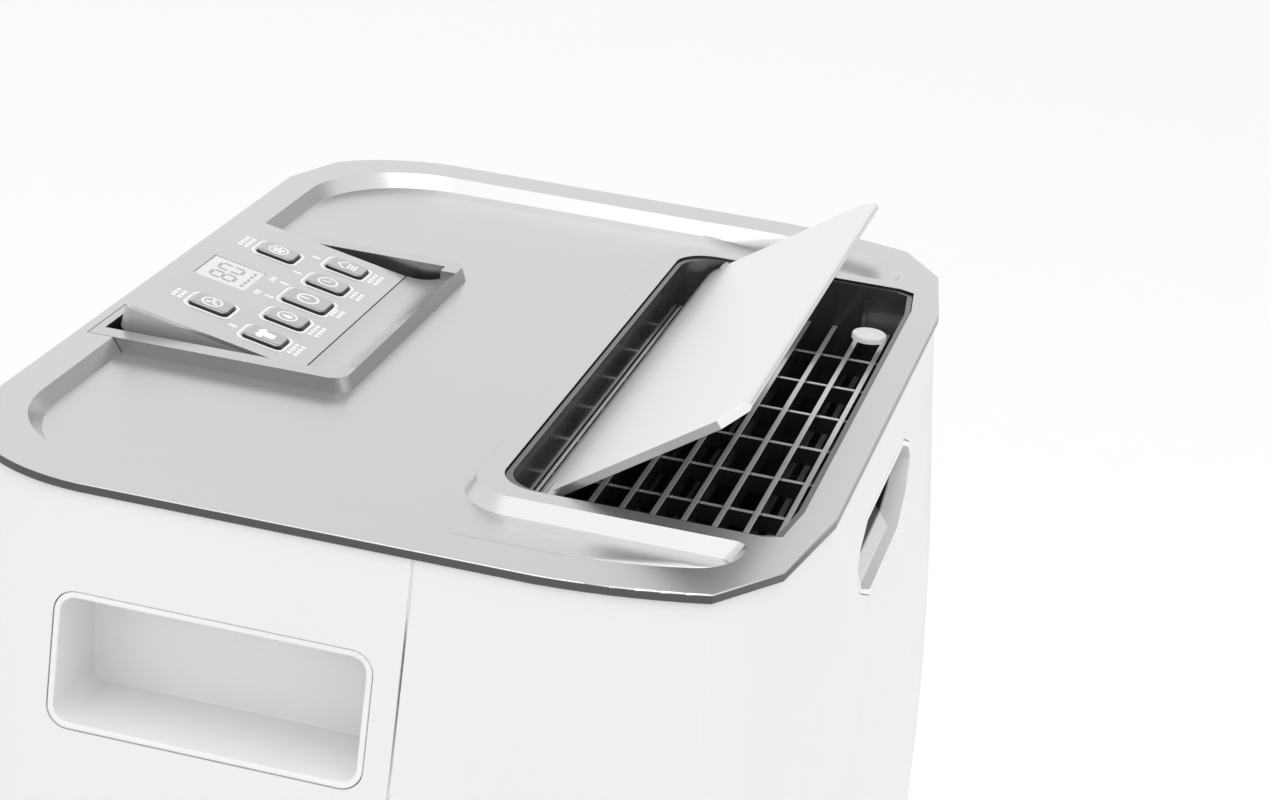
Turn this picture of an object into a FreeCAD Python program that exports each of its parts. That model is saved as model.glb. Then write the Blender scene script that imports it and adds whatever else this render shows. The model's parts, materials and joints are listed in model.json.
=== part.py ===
import FreeCAD, Part
import math
import os

V = FreeCAD.Vector

# A free-standing compressor dehumidifier.
# Frame: origin on the floor under the middle of the body, +Z up, front towards -Y, +X to the
# right of a person facing the front. Millimetres. Drawn with the flap open and the panel tilted up.

# ---- driving dimensions -----------------------------------------------------------------------
TOP_Z = 590.0            # flat top of the silver cover's border
COVER_HALF_W = 180.0
COVER_HALF_D = 133.0
RIM_H = 2.9              # visible edge of the cover
FIELD_DROP = 5.0         # the field lies this far below the border
BEVEL = 3.3              # width of the slope between border and field
FIELD_HALF_W = 163.5
FIELD_REAR_Y = 120.0
FRAME_HALF_W = 130.5     # raised frame round the outlet
FRAME_REAR_Y = -23.4
GROOVE_END_Y = -112.0

WALL = 2.5
BODY_SECTIONS = [        # height, half width, half depth of the white body
    (24.0, 183.0, 136.0),
    (60.0, 189.0, 142.0),
    (150.0, 192.5, 145.5),
    (330.0, 194.0, 147.0),
    (490.0, 188.7, 141.7),
    (TOP_Z - RIM_H, 179.0, 132.0),
]
SEAM_Y = -24.0           # vertical seam between the two housings
SEAM_GAP = 0.6

WELL_HALF_W = 123.0      # outlet opening
WELL_REAR_Y = -31.0
WELL_FRONT_Y = -123.3
WELL_DEPTH = 30.0
GRILLE_TOP = 18.0        # cross bars lie this far below the border
BAR_PITCH = 10.16
LONG_BAR_PITCH = 31.0

FLAP_HALF_W = 117.5
FLAP_PIVOT_Y = -47.9
FLAP_PIVOT_Z = TOP_Z - 2.7
FLAP_CHORD = 67.6
FLAP_THICK = 3.0
FLAP_OPEN_DEG = 34.0

BEZEL_HALF_W = 66.0
BEZEL_FRONT_Y = 37.0
BEZEL_REAR_Y = 129.0
BEZEL_CAVITY_HALF_W = 59.0
PANEL_HALF_W = 53.3
PANEL_DEPTH = 66.0
PANEL_FRONT_Y = 57.9
PANEL_FRONT_DROP = 4.5
PANEL_TILT_DEG = 11.0
PANEL_SKIN = 1.6
PANEL_THICK = 10.0
PANEL_PIN_V = 3.2        # pin centre behind and below the panel's top front edge
PANEL_PIN_W = -5.0
KEY_PITCH = 20.0
KEY_TOP = 1.3            # keys stand this far above the panel's face

FILTER_HALF_W = 126.0    # filter opening in the back
FILTER_Z0 = 313.0
FILTER_Z1 = 517.0
SEAT_Y = 127.0           # the filter rests on a seat this far back
SEAT_THICK = 4.0
PORT_X = 118.0           # drain port to the left, cord inlet to the right, seen from the front
PORT_Z = 200.0

DECK_Z = 300.0           # plate that carries the fan and coils over the tank
FAN_Z = 410.0
FAN_R = 78.0
SHAFT_R = 4.0
SCROLL_FRONT_Y = -97.0
SCROLL_REAR_Y = -30.0

EVAPORATOR_Y = 89.0      # front faces of the two coils
CONDENSER_Y = 57.0
COMPRESSOR_X = 60.0
COMPRESSOR_Y = 66.0
SPOUT_Y = -18.0          # the tray drips into the tank here

TANK_HALF_W = 107.5
TANK_BOTTOM = 60.0
TANK_TOP = 262.0
TANK_FRONT_TOP = 276.5
TANK_REAR_Y = -8.0
BAIL_Y = -80.0           # handle pivot on the tank's lid
BAIL_Z = TANK_TOP + 8.0
BAIL_PIN_R = 2.5
FLOAT_X = -70.0          # float pivot below the lid
FLOAT_Y = -30.0
FLOAT_Z = TANK_TOP - 22.0
TUB_FRONT_Y = -125.0     # the tub ends behind the tank's white front panel
TANK_WALL = 2.5
PIN_R = 2.0              # flap pins and float pin
PANEL_PIN_R = 1.5
SCREW_R = 1.8
PAN_Z = 36.0
PAN_THICK = 3.0
WHEEL_R = 28.0
WHEEL_Y = 88.0
WHEEL_X = 149.0
WHEEL_WIDTH = 18.0
AXLE_R = 4.0
RUN_GAP = 0.05           # radial clearance of a pin in its hole
GAP = 0.3                # gap between parts that only sit beside each other


# ---- helpers ----------------------------------------------------------------------------------
def box(x0, x1, y0, y1, z0, z1):
    return Part.makeBox(x1 - x0, y1 - y0, z1 - z0, V(x0, y0, z0))


def cyl(radius, height, base, axis=V(0, 0, 1)):
    return Part.makeCylinder(radius, height, base, axis)


def polygon_prism(points, push):
    wire = Part.makePolygon(points + [points[0]])
    return Part.Face(wire).extrude(push)


def fuse(shapes):
    return shapes[0].multiFuse(shapes[1:]).removeSplitter()


def cut_all(shape, tools):
    for tool in tools:
        shape = shape.cut(tool)
    return shape


def mirror_x(shape):
    return shape.mirror(V(0, 0, 0), V(1, 0, 0))


def fillet_vertical(shape, radius, low=None):
    """Rounds the vertical edges, or only those behind the plane y = low."""
    edges = []
    for edge in shape.Edges:
        a = edge.Vertexes[0].Point
        b = edge.Vertexes[-1].Point
        if abs(a.x - b.x) > 1e-6 or abs(a.y - b.y) > 1e-6:
            continue
        if low is not None and a.y < low:
            continue
        edges.append(edge)
    return shape.makeFillet(radius, edges)


def rounded_box(x0, x1, y0, y1, z0, z1, radius):
    return fillet_vertical(box(x0, x1, y0, y1, z0, z1), radius)


def wire_of(items):
    """Closed wire from points; a (via, end) pair makes an arc from the last point."""
    edges = []
    last = items[0]
    for item in items[1:] + [items[0]]:
        if isinstance(item, tuple):
            edges.append(Part.Arc(last, item[0], item[1]).toShape())
            last = item[1]
        else:
            if (item - last).Length > 1e-6:
                edges.append(Part.LineSegment(last, item).toShape())
            last = item
    return Part.Wire(edges)


def mirrored(items):
    """The same path walked backwards on the other side of X = 0."""
    flip = [(V(-p[0].x, p[0].y, p[0].z), V(-p[1].x, p[1].y, p[1].z))
            if isinstance(p, tuple) else V(-p.x, p.y, p.z) for p in items]
    out = []
    ends = [p[1] if isinstance(p, tuple) else p for p in flip]
    for i in range(len(flip) - 1, 0, -1):
        if isinstance(flip[i], tuple):
            out.append((flip[i][0], ends[i - 1]))
        else:
            out.append(ends[i - 1])
    return [ends[-1]] + out


def plan_wire(half_w, half_d, z):
    """Plan outline shared by the cover and the body: two facets at each front corner, one facet
    and a wide curve at each rear corner."""
    w = half_w
    d = half_d
    right = [
        V(w - 79.0, -d, z),
        V(w - 34.5, -(d - 7.0), z),
        V(w - 10.0, -(d - 23.0), z),
        (V(w - 4.0, -(d - 44.0), z), V(w, -(d - 73.0), z)),
        V(w, d - 58.0, z),
        (V(w - 7.6, d - 26.4, z), V(w - 21.4, d - 9.4, z)),
        V(w - 50.0, d, z),
    ]
    return wire_of(right + mirrored(right))


def plan_prism(half_w, half_d, z0, z1):
    return Part.Face(plan_wire(half_w, half_d, z0)).extrude(V(0, 0, z1 - z0))


def body_solid(inset, reach=0.0):
    wires = [plan_wire(w - inset, d - inset, z) for z, w, d in BODY_SECTIONS]
    solid = Part.makeLoft(wires, True, False)
    if reach:
        z, w, d = BODY_SECTIONS[-1]
        solid = solid.fuse(plan_prism(w - inset, d - inset, z, z + reach))
        z, w, d = BODY_SECTIONS[0]
        solid = solid.fuse(plan_prism(w - inset, d - inset, z - reach, z))
    return solid


def half_size_at(z):
    for (z0, w0, d0), (z1, w1, d1) in zip(BODY_SECTIONS, BODY_SECTIONS[1:]):
        if z <= z1:
            t = (z - z0) / (z1 - z0)
            return w0 + t * (w1 - w0), d0 + t * (d1 - d0)
    return BODY_SECTIONS[-1][1:]


def tube_along(points, radius, bend):
    """Round bar through points, straight runs joined by arcs of one bend radius."""
    edges = []
    last = points[0]
    for before, corner, after in zip(points, points[1:], points[2:]):
        back = (before - corner).normalize()
        ahead = (after - corner).normalize()
        half = back.getAngle(ahead) / 2.0
        reach = bend / math.tan(half)
        start = corner + back * reach
        end = corner + ahead * reach
        middle = (back + ahead).normalize()
        via = corner + middle * (bend / math.sin(half) - bend)
        edges.append(Part.LineSegment(last, start).toShape())
        edges.append(Part.Arc(start, via, end).toShape())
        last = end
    edges.append(Part.LineSegment(last, points[-1]).toShape())
    path = Part.Wire(edges)
    circle = Part.Wire([Part.makeCircle(radius, points[0], points[1] - points[0])])
    return path.makePipeShell([circle], True, False)


OUTER = body_solid(0.0)
INNER = body_solid(WALL, 4.0)


# ---- silver cover, outlet and flap ------------------------------------------------------------
def field_wire(inset, z):
    """Edge of the sunk field: rear corners swept, two grooves running forward beside the frame."""
    fw = FIELD_HALF_W - inset
    fr = FIELD_REAR_Y - inset
    gx = FRAME_HALF_W + inset
    gy = FRAME_REAR_Y + inset
    sweep = 44.0
    mid = sweep * (1.0 - math.cos(math.radians(45.0)))
    corner = 15.0 + inset
    cm = corner * (1.0 - math.cos(math.radians(45.0)))
    end = GROOVE_END_Y + inset
    right = [
        V(gx - corner, gy, z),
        (V(gx - cm, gy - cm, z), V(gx, gy - corner, z)),
        V(gx, end + 4.0, z),
        (V(gx + 1.2, end + 1.2, z), V(gx + 5.0, end, z)),
        (V(fw - 14.0, end + 4.0, z), V(fw - 8.1, -99.4 + inset * 0.4, z)),
        (V(fw - 1.8, -77.0, z), V(fw, -60.0, z)),
        V(fw, fr - sweep, z),
        (V(fw - mid, fr - mid, z), V(fw - sweep, fr, z)),
    ]
    return wire_of(right + mirrored(right))


def well_wire(grow, z):
    w = WELL_HALF_W + grow
    rear = WELL_REAR_Y + grow
    front = WELL_FRONT_Y - grow
    r = 13.0
    m = r * (1.0 - math.cos(math.radians(45.0)))
    right = [
        V(w - 23.0, front + 0.9, z),
        V(w - 2.0, front + 3.3, z),
        V(w + 0.4, front + 8.7, z),
        V(w, rear - r, z),
        (V(w - m, rear - m, z), V(w - r, rear, z)),
    ]
    return wire_of(right + mirrored(right))


def well_prism(grow, z0, z1):
    return Part.Face(well_wire(grow, z0)).extrude(V(0, 0, z1 - z0))


def make_top_cover():
    rim = plan_prism(COVER_HALF_W, COVER_HALF_D, TOP_Z - RIM_H, TOP_Z)
    edges = [e for e in rim.Edges if abs(e.BoundBox.ZMin - TOP_Z) < 1e-6]
    rim = rim.makeFillet(0.5, edges)
    skirt_w = BODY_SECTIONS[-1][1] - WALL - GAP
    skirt_d = BODY_SECTIONS[-1][2] - WALL - GAP
    skirt = plan_prism(skirt_w, skirt_d, TOP_Z - 8.0, TOP_Z - RIM_H)
    cover = rim.fuse(skirt)
    low = field_wire(BEVEL, TOP_Z - FIELD_DROP)
    high = field_wire(0.0, TOP_Z)
    above = field_wire(0.0, TOP_Z + 1.0)
    recess = Part.makeLoft([low, high], True, True).fuse(Part.makeLoft([high, above], True, True))
    cover = cover.cut(recess)
    cover = cover.cut(well_prism(GAP, TOP_Z - 10.0, TOP_Z + 1.0))
    seat = box(-BEZEL_HALF_W - GAP, BEZEL_HALF_W + GAP, FIELD_REAR_Y - BEVEL - 1.0,
               BEZEL_REAR_Y + GAP, TOP_Z - FIELD_DROP, TOP_Z + 1.0)
    hole = box(-BEZEL_CAVITY_HALF_W - 3.0, BEZEL_CAVITY_HALF_W + 3.0, BEZEL_FRONT_Y + 5.0,
               BEZEL_REAR_Y - 1.0, TOP_Z - 10.0, TOP_Z)
    return cut_all(cover, [seat, hole]).removeSplitter()


def make_outlet_well():
    outer = well_prism(0.0, TOP_Z - WELL_DEPTH, TOP_Z - 0.8)
    inner = well_prism(-1.8, TOP_Z - WELL_DEPTH - 1.0, TOP_Z)
    flange = well_prism(4.0, TOP_Z - 10.6, TOP_Z - 8.3).cut(inner)
    pieces = [outer.cut(inner), flange]
    for side in (-1, 1):
        for y in (-103.0, -72.5, -42.0):
            x = side * (WELL_HALF_W - 1.8)
            rib = box(min(x, x - side * 1.2), max(x, x - side * 1.2), y - 0.9, y + 0.9,
                      TOP_Z - GRILLE_TOP, TOP_Z - 6.0)
            pieces.append(rib)
    tub = fuse(pieces)
    pins = [cyl(PIN_R + RUN_GAP, 20.0, V(side * 115.0, FLAP_PIVOT_Y, FLAP_PIVOT_Z), V(side, 0, 0))
            for side in (-1, 1)]
    return cut_all(tub, pins)


def make_outlet_grille():
    """Cross bars on top, long bars a little lower, and a ledge along the rear wall."""
    top = TOP_Z - GRILLE_TOP
    inside = well_prism(-2.1, TOP_Z - WELL_DEPTH, TOP_Z)
    bar_half = 1.0
    cross_depth = 7.5
    long_drop = 2.0
    long_depth = 6.0
    reach = WELL_HALF_W + 2.0
    first = WELL_FRONT_Y + 10.6
    bars = []
    for i in range(8):
        y = first + BAR_PITCH * i
        bars.append(box(-reach, reach, y - bar_half, y + bar_half, top - cross_depth, top))
    bars.append(box(-reach, reach, WELL_REAR_Y - 3.4, WELL_REAR_Y - 1.9, top - cross_depth, top))
    for i in range(-3, 4):
        x = LONG_BAR_PITCH * i
        bars.append(box(x - bar_half, x + bar_half, WELL_FRONT_Y - 2.0, WELL_REAR_Y + 1.0,
                        top - long_drop - long_depth, top - long_drop))
    return fuse(bars).common(inside)


def make_guide_vanes():
    """Six slanted vanes below the grille, joined by an end plate at each side."""
    bottom = TOP_Z - 52.0
    top = TOP_Z - WELL_DEPTH - GAP
    half = 116.0
    thick = 1.6
    lean = 8.0
    pitch = 13.0
    vanes = []
    for i in range(6):
        y = -101.0 + i * pitch
        points = [V(-half, y, top), V(-half, y + thick, top),
                  V(-half, y + thick + lean, bottom), V(-half, y + lean, bottom)]
        vanes.append(polygon_prism(points, V(2 * half, 0, 0)))
    for side in (-1, 1):
        x = side * (half + 1.0)
        vanes.append(box(x - 1.2, x + 1.2, -104.0, -24.5, bottom - 1.0, top))
    return fuse(vanes)


def make_ioniser_cap():
    height = 2.4
    low = TOP_Z - GRILLE_TOP + GAP
    disc = cyl(6.5, height, V(112.0, -106.9, low))
    return disc.makeFillet(0.8, [e for e in disc.Edges if e.BoundBox.ZMin > low + height / 2])


def make_air_duct():
    """Widens from the scroll's mouth to a collar under the outlet well."""
    def rect(x0, x1, y0, y1, z):
        corners = [V(x0, y0, z), V(x1, y0, z), V(x1, y1, z), V(x0, y1, z)]
        return Part.makePolygon(corners + [corners[0]])
    wall = 2.0
    low = FAN_Z + 96.0
    high = TOP_Z - 57.0
    half = 121.0
    front = -106.5
    rear = -22.0
    outer = Part.makeLoft([rect(20.0, 112.0, SCROLL_FRONT_Y, SCROLL_REAR_Y, low),
                           rect(-half, half, front, rear, high)], True, True)
    inner = Part.makeLoft([rect(20.0 + wall, 112.0 - wall, SCROLL_FRONT_Y + wall, SCROLL_REAR_Y - wall, low),
                           rect(-half + wall, half - wall, front + wall, rear - wall, high)], True, True)
    collar = box(-half, half, front, rear, high, TOP_Z - WELL_DEPTH - GAP)
    collar = collar.cut(box(-half + wall, half - wall, front + wall, rear - wall, high - 1.0, TOP_Z))
    return fuse([outer.cut(inner), collar])


def flap_section():
    """Flap profile in the YZ plane, closed and level, with the pivot at the origin."""
    t = FLAP_THICK / 2.0
    free = -FLAP_CHORD
    return [
        V(0, free + 1.2, t),
        V(0, 3.0, t),
        (V(0, 8.5, t - 1.6), V(0, 12.4, t - 5.6)),
        V(0, 10.4, t - 6.6),
        (V(0, 6.5, t - 4.0), V(0, 2.0, -t)),
        V(0, free + 1.2, -t),
        (V(0, free, 0.0), V(0, free + 1.2, t)),
    ]


def place_flap(shape):
    shape = shape.copy()
    shape.rotate(V(0, 0, 0), V(-1, 0, 0), FLAP_OPEN_DEG)
    shape.translate(V(0, FLAP_PIVOT_Y, FLAP_PIVOT_Z))
    return shape


def make_outlet_flap():
    """The plate, with cut corners at its free edge and at its curled tail, and a hole for each pin."""
    w = FLAP_HALF_W
    plate = Part.Face(wire_of(flap_section())).extrude(V(2 * w, 0, 0))
    plate.translate(V(-w, 0, 0))
    far = FLAP_CHORD + 1.0
    corner = 9.0
    tail = 13.0
    tail_corner = 6.0
    low = -10.0
    tools = []
    for side in (-1, 1):
        free_cut = [V(side * w, -far, low), V(side * (w - corner), -far, low),
                    V(side * w, corner + 1.0 - far, low)]
        tail_cut = [V(side * w, tail, low), V(side * (w - tail_corner), tail, low),
                    V(side * w, tail - tail_corner, low)]
        tools.append(polygon_prism(free_cut, V(0, 0, -2 * low)))
        tools.append(polygon_prism(tail_cut, V(0, 0, -2 * low)))
        tools.append(cyl(PIN_R, 6.0, V(side * (w + 1.0), 0, 0), V(-side, 0, 0)))
    return place_flap(cut_all(plate, tools))


def make_flap_pins():
    pins = []
    for side in (-1, 1):
        start = FLAP_HALF_W - 5.0
        end = WELL_HALF_W - 0.3
        pins.append(cyl(PIN_R, end - start, V(side * start, 0, 0), V(side, 0, 0)))
    return place_flap(Part.makeCompound(pins))


# ---- control panel ----------------------------------------------------------------------------
def make_panel_bezel():
    z0 = TOP_Z - FIELD_DROP
    w = BEZEL_HALF_W
    front = BEZEL_FRONT_Y
    top_front = front + 1.8
    profile = [V(-w, front, z0), V(-w, top_front, TOP_Z), V(-w, BEZEL_REAR_Y, TOP_Z), V(-w, BEZEL_REAR_Y, z0)]
    block = polygon_prism(profile, V(2 * w, 0, 0))
    corners = [e for e in block.Edges if e.BoundBox.YMax < top_front + 0.1 and e.BoundBox.XLength < 1e-6]
    block = block.makeFillet(6.0, corners)
    tub = box(-BEZEL_CAVITY_HALF_W - 2.6, BEZEL_CAVITY_HALF_W + 2.6, front + 5.4, BEZEL_REAR_Y - 1.4,
              TOP_Z - 26.0, TOP_Z - 1.0)
    bezel = block.fuse(tub)
    cavity_w = BEZEL_CAVITY_HALF_W
    hinge_y = PANEL_FRONT_Y - 0.5
    cavity = box(-cavity_w, cavity_w, hinge_y, BEZEL_REAR_Y - 3.0, TOP_Z - 24.0, TOP_Z + 1.0)
    half = PANEL_HALF_W + GAP
    channel = box(half, cavity_w, front + 7.7, hinge_y + 1.0, TOP_Z - 15.0, TOP_Z + 1.0)
    above = TOP_Z + 1.0
    dip = (V(-half, top_front + 4.5, TOP_Z - 2.6), V(-half, hinge_y + 0.1, TOP_Z - PANEL_FRONT_DROP))
    ramp_wire = wire_of([V(-half, top_front, TOP_Z + 0.01), dip, V(-half, hinge_y + 0.1, above),
                         V(-half, top_front, above)])
    ramp_cut = Part.Face(ramp_wire).extrude(V(2 * half, 0, 0))
    pin_y, pin_z = panel_pin_place()
    pin_r = PANEL_PIN_R + RUN_GAP
    pins = [cyl(pin_r, 3.4, V(s * (cavity_w - 1.0), pin_y, pin_z), V(s, 0, 0)) for s in (-1, 1)]
    return cut_all(bezel, [cavity, ramp_cut, channel, mirror_x(channel)] + pins)


def place_panel(shape):
    """From panel axes (x across, y up the slope, z off the face) to the tilted rest pose."""
    shape = shape.copy()
    shape.rotate(V(0, 0, 0), V(1, 0, 0), PANEL_TILT_DEG)
    shape.translate(V(0, PANEL_FRONT_Y, TOP_Z - PANEL_FRONT_DROP))
    return shape


def panel_pin_place():
    tilt = math.radians(PANEL_TILT_DEG)
    y = PANEL_PIN_V * math.cos(tilt) - PANEL_PIN_W * math.sin(tilt)
    z = PANEL_PIN_V * math.sin(tilt) + PANEL_PIN_W * math.cos(tilt)
    return PANEL_FRONT_Y + y, TOP_Z - PANEL_FRONT_DROP + z


def key_places():
    """Name: centre x, centre up the panel, width, length of each key."""
    places = {}
    for i, name in enumerate(("laundry", "humidity", "power", "timer", "purifier")):
        wide = 2.0 if name == "power" else 0.0
        places["key_" + name] = ((i - 2) * KEY_PITCH, 18.5, 10.4 + wide, 14.2 + wide)
    places["key_speed"] = (-31.0, 42.2, 10.4, 14.2)
    places["key_turbo"] = (31.0, 42.2, 10.4, 14.2)
    return places


def panel_outline(z0, z1, inset):
    w = PANEL_HALF_W - inset
    slab = box(-w, w, inset, PANEL_DEPTH - inset, z0, z1)
    return fillet_vertical(slab, max(5.0 - inset, 1.0), low=PANEL_DEPTH / 2.0)


def make_panel_overlay():
    skin = panel_outline(-PANEL_SKIN, 0.0, 0.0)
    holes = []
    for x, v, width, length in key_places().values():
        holes.append(rounded_box(x - width / 2 - 0.25, x + width / 2 + 0.25, v - length / 2 - 0.25,
                                 v + length / 2 + 0.25, -3.0, 1.0, 2.2))
    holes.append(box(-10.3, 10.3, 38.7, 58.3, -3.0, 1.0))
    return place_panel(cut_all(skin, holes))


def make_display_window():
    lens = box(-10.1, 10.1, 38.9, 58.1, -PANEL_SKIN, -0.25)
    return place_panel(lens)


def make_panel_tray():
    tray = panel_outline(-PANEL_THICK, -PANEL_SKIN, 0.0)
    tray = tray.cut(panel_outline(-PANEL_THICK + 1.5, -PANEL_SKIN + 1.0, 1.5))
    holes = []
    for side in (-1, 1):
        start = V(side * (PANEL_HALF_W - 8.3), PANEL_PIN_V, PANEL_PIN_W)
        holes.append(cyl(PANEL_PIN_R + RUN_GAP, 20.0, start, V(side, 0, 0)))
    boss = box(PANEL_HALF_W - 2.3, PANEL_HALF_W - 0.8, 1.0, 6.6, -8.5, -2.0)
    return place_panel(cut_all(fuse([tray, boss, mirror_x(boss)]), holes))


def make_panel_pins():
    y, z = panel_pin_place()
    pins = [cyl(PANEL_PIN_R, 8.6, V(s * 50.5, y, z), V(s, 0, 0)) for s in (-1, 1)]
    return Part.makeCompound(pins)


def make_control_pcb():
    board = box(-50.5, 50.5, 8.0, 63.0, -8.3, -6.8)
    lcd = box(-13.0, 13.0, 37.0, 60.0, -6.8, -1.9)
    return place_panel(fuse([board, lcd]))


def make_key_switches():
    parts = []
    half = 3.0
    for x, v, width, length in key_places().values():
        base = box(x - half, x + half, v - half, v + half, -6.7, -4.9)
        parts.append(place_panel(base.fuse(cyl(1.6, 0.5, V(x, v, -4.95)))))
    return Part.makeCompound(parts)


def make_key(name):
    x, v, width, length = key_places()[name]
    half_w = width / 2
    half_l = length / 2
    lip_w = half_w + 0.9
    lip_l = half_l + 0.9
    cap = rounded_box(x - half_w, x + half_w, v - half_l, v + half_l, -3.2, KEY_TOP, 2.0)
    cap = cap.makeFillet(1.0, [e for e in cap.Edges if e.BoundBox.ZMin > KEY_TOP - 0.1])
    lip = rounded_box(x - lip_w, x + lip_w, v - lip_l, v + lip_l, -2.8, -1.8, 2.4)
    return place_panel(cap.fuse(lip))


# ---- white housings ---------------------------------------------------------------------------
def grip_box(side, grow, deep):
    w = half_size_at(TOP_Z - 60.0)[0]
    x0 = w - 28.0 - deep
    x1 = w + 12.0
    z1 = TOP_Z - 34.5 + grow
    z0 = TOP_Z - 78.0 - grow
    slab = box(x0, x1, -15.5 - grow, 85.0 + grow, z0, z1)
    along_x = [e for e in slab.Edges if e.BoundBox.YLength < 1e-6 and e.BoundBox.ZLength < 1e-6]
    slab = slab.makeFillet(7.0 + grow, along_x)
    return slab if side > 0 else mirror_x(slab)


def front_pocket(grow, y0, y1):
    """Outline of the hand pocket on the front face."""
    g = grow
    z = TOP_Z
    half = [(36.0 + 0.4 * g, -25.0 + g), (50.0 + g, -31.0 + 0.6 * g), (54.5 + g, -37.5),
            (46.5 + g, -48.0 - 0.4 * g), (28.0 + 0.4 * g, -56.5 - g)]
    points = [V(x, y0, z + dz) for x, dz in half]
    points += [V(-x, y0, z + dz) for x, dz in reversed(half)]
    return polygon_prism(points, V(0, y1 - y0, 0))


def screw_places():
    places = []
    for z in (96.0, 548.0):
        for x in (-118.0, 118.0):
            places.append((x, z))
    return places


def shell():
    return OUTER.cut(INNER)


def make_front_housing():
    front = shell().common(box(-250, 250, -250, SEAM_Y - SEAM_GAP / 2, 0, TOP_Z))
    bay_half = TANK_HALF_W + 1.0
    bay = box(-bay_half, bay_half, -250, -100, TANK_BOTTOM - 1.5, TANK_FRONT_TOP + 1.0)
    front = front.cut(bay)
    front = front.cut(front_pocket(GAP, -250.0, -90.0))
    return front


def filter_block(grow, y0, y1):
    """The filter's opening, grown or shrunk on its four sides, between two depths."""
    half = FILTER_HALF_W + grow
    return box(-half, half, y0, y1, FILTER_Z0 - grow, FILTER_Z1 + grow)


def make_rear_housing():
    rear = shell().common(box(-250, 250, SEAM_Y + SEAM_GAP / 2, 250, 0, TOP_Z))
    for side in (-1, 1):
        rear = rear.cut(grip_box(side, GAP, 0.0))
    rear = rear.cut(filter_block(0.0, 120.0, 200.0))
    seat = filter_block(6.0, SEAT_Y, SEAT_Y + SEAT_THICK).cut(filter_block(-8.0, 120.0, 140.0))
    walls = filter_block(6.0, SEAT_Y, 148.0).cut(filter_block(0.0, 120.0, 150.0))
    inside = body_solid(1.0)
    pieces = [rear, seat, walls.common(inside)]
    window_half = FILTER_HALF_W - 8.0
    window_low = FILTER_Z0 + 8.0
    window_high = FILTER_Z1 - 8.0
    across = window_half / 2.0
    for i in range(-1, 2):
        x = across * i
        pieces.append(box(x - 1.5, x + 1.5, SEAT_Y, SEAT_Y + SEAT_THICK, window_low, window_high))
    for i in range(1, 3):
        z = window_low + (window_high - window_low) / 3.0 * i
        pieces.append(box(-window_half, window_half, SEAT_Y, SEAT_Y + SEAT_THICK, z - 1.5, z + 1.5))
    for x, z in screw_places():
        pieces.append(cyl(6.5, 30.0, V(x, 118.0, z), V(0, 1, 0)).common(inside))
    tools = [cyl(17.0, 60.0, V(-PORT_X, 110.0, PORT_Z), V(0, 1, 0)),
             cyl(9.0 + GAP, 60.0, V(PORT_X, 110.0, PORT_Z), V(0, 1, 0))]
    for x, z in screw_places():
        tools.append(cyl(4.3, 40.0, V(x, 130.0, z), V(0, 1, 0)))
        tools.append(cyl(SCREW_R + RUN_GAP, 40.0, V(x, 110.0, z), V(0, 1, 0)))
    return cut_all(fuse(pieces), tools)


def make_grip(side):
    outer = grip_box(1, 0.0, 2.0).common(OUTER)
    inner = grip_box(1, -2.0, 0.0)
    cup = outer.cut(inner)
    return cup if side > 0 else mirror_x(cup)


def pocket_space(grow, reach):
    """The hand pocket: shallow under the outlet well, deeper below it."""
    mouth = front_pocket(grow, -200.0, -127.6 + reach)
    back = front_pocket(grow, -200.0, -109.0 + reach)
    over = box(-80.0, 80.0, -127.6 + reach, -90.0, TOP_Z - 33.0 + reach, TOP_Z)
    return mouth.fuse(back.cut(over)).removeSplitter()


def make_front_grip():
    cup = pocket_space(0.0, 1.8).common(OUTER)
    hollow = pocket_space(-1.8, 0.0)
    half = 70.0
    low = TOP_Z - 60.0
    profile = [V(-half, -150.0, low), V(-half, -150.0, low + 3.2), V(-half, -133.6, low + 5.3),
               V(-half, -109.0, low + 20.0), V(-half, -109.0, low)]
    slope = polygon_prism(profile, V(2 * half, 0, 0))
    return cup.cut(hollow.cut(slope))


def make_filter_cover():
    """Louvred cover flush with the back: three columns of slots that slope down and out."""
    outer = filter_block(-2 * GAP, 134.6, 160.0).common(body_solid(1.2))
    pitch = 11.2
    height = 5.6
    fall = 6.0
    column = 75.0
    slots = []
    for i in range(16):
        z = FILTER_Z0 + 12.0 + pitch * i
        for x in (-115.0, -37.5, 40.0):
            points = [V(x, 130.0, z), V(x, 130.0, z + height),
                      V(x, 150.0, z + height - fall), V(x, 150.0, z - fall)]
            slots.append(polygon_prism(points, V(column, 0, 0)))
    pull = box(-22.0, 22.0, 138.0, 160.0, FILTER_Z1 - 9.5, FILTER_Z1 + 3.0)
    return cut_all(outer, [Part.makeCompound(slots), pull])


def make_filter_mesh():
    """Mesh sheet on a frame with thirty cells open to the inside."""
    sheet = filter_block(-6.0, 131.6, 134.3)
    rib = 2.6
    pitch_x = 39.1
    pitch_z = 37.4
    cells = []
    for ix in range(6):
        for iz in range(5):
            x = 3.0 + 6.0 - FILTER_HALF_W + ix * pitch_x
            z = 3.0 + 6.0 + FILTER_Z0 + iz * pitch_z
            cells.append(box(x, x + pitch_x - rib, 130.0, 133.4, z, z + pitch_z - rib))
    return sheet.cut(Part.makeCompound(cells))


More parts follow.
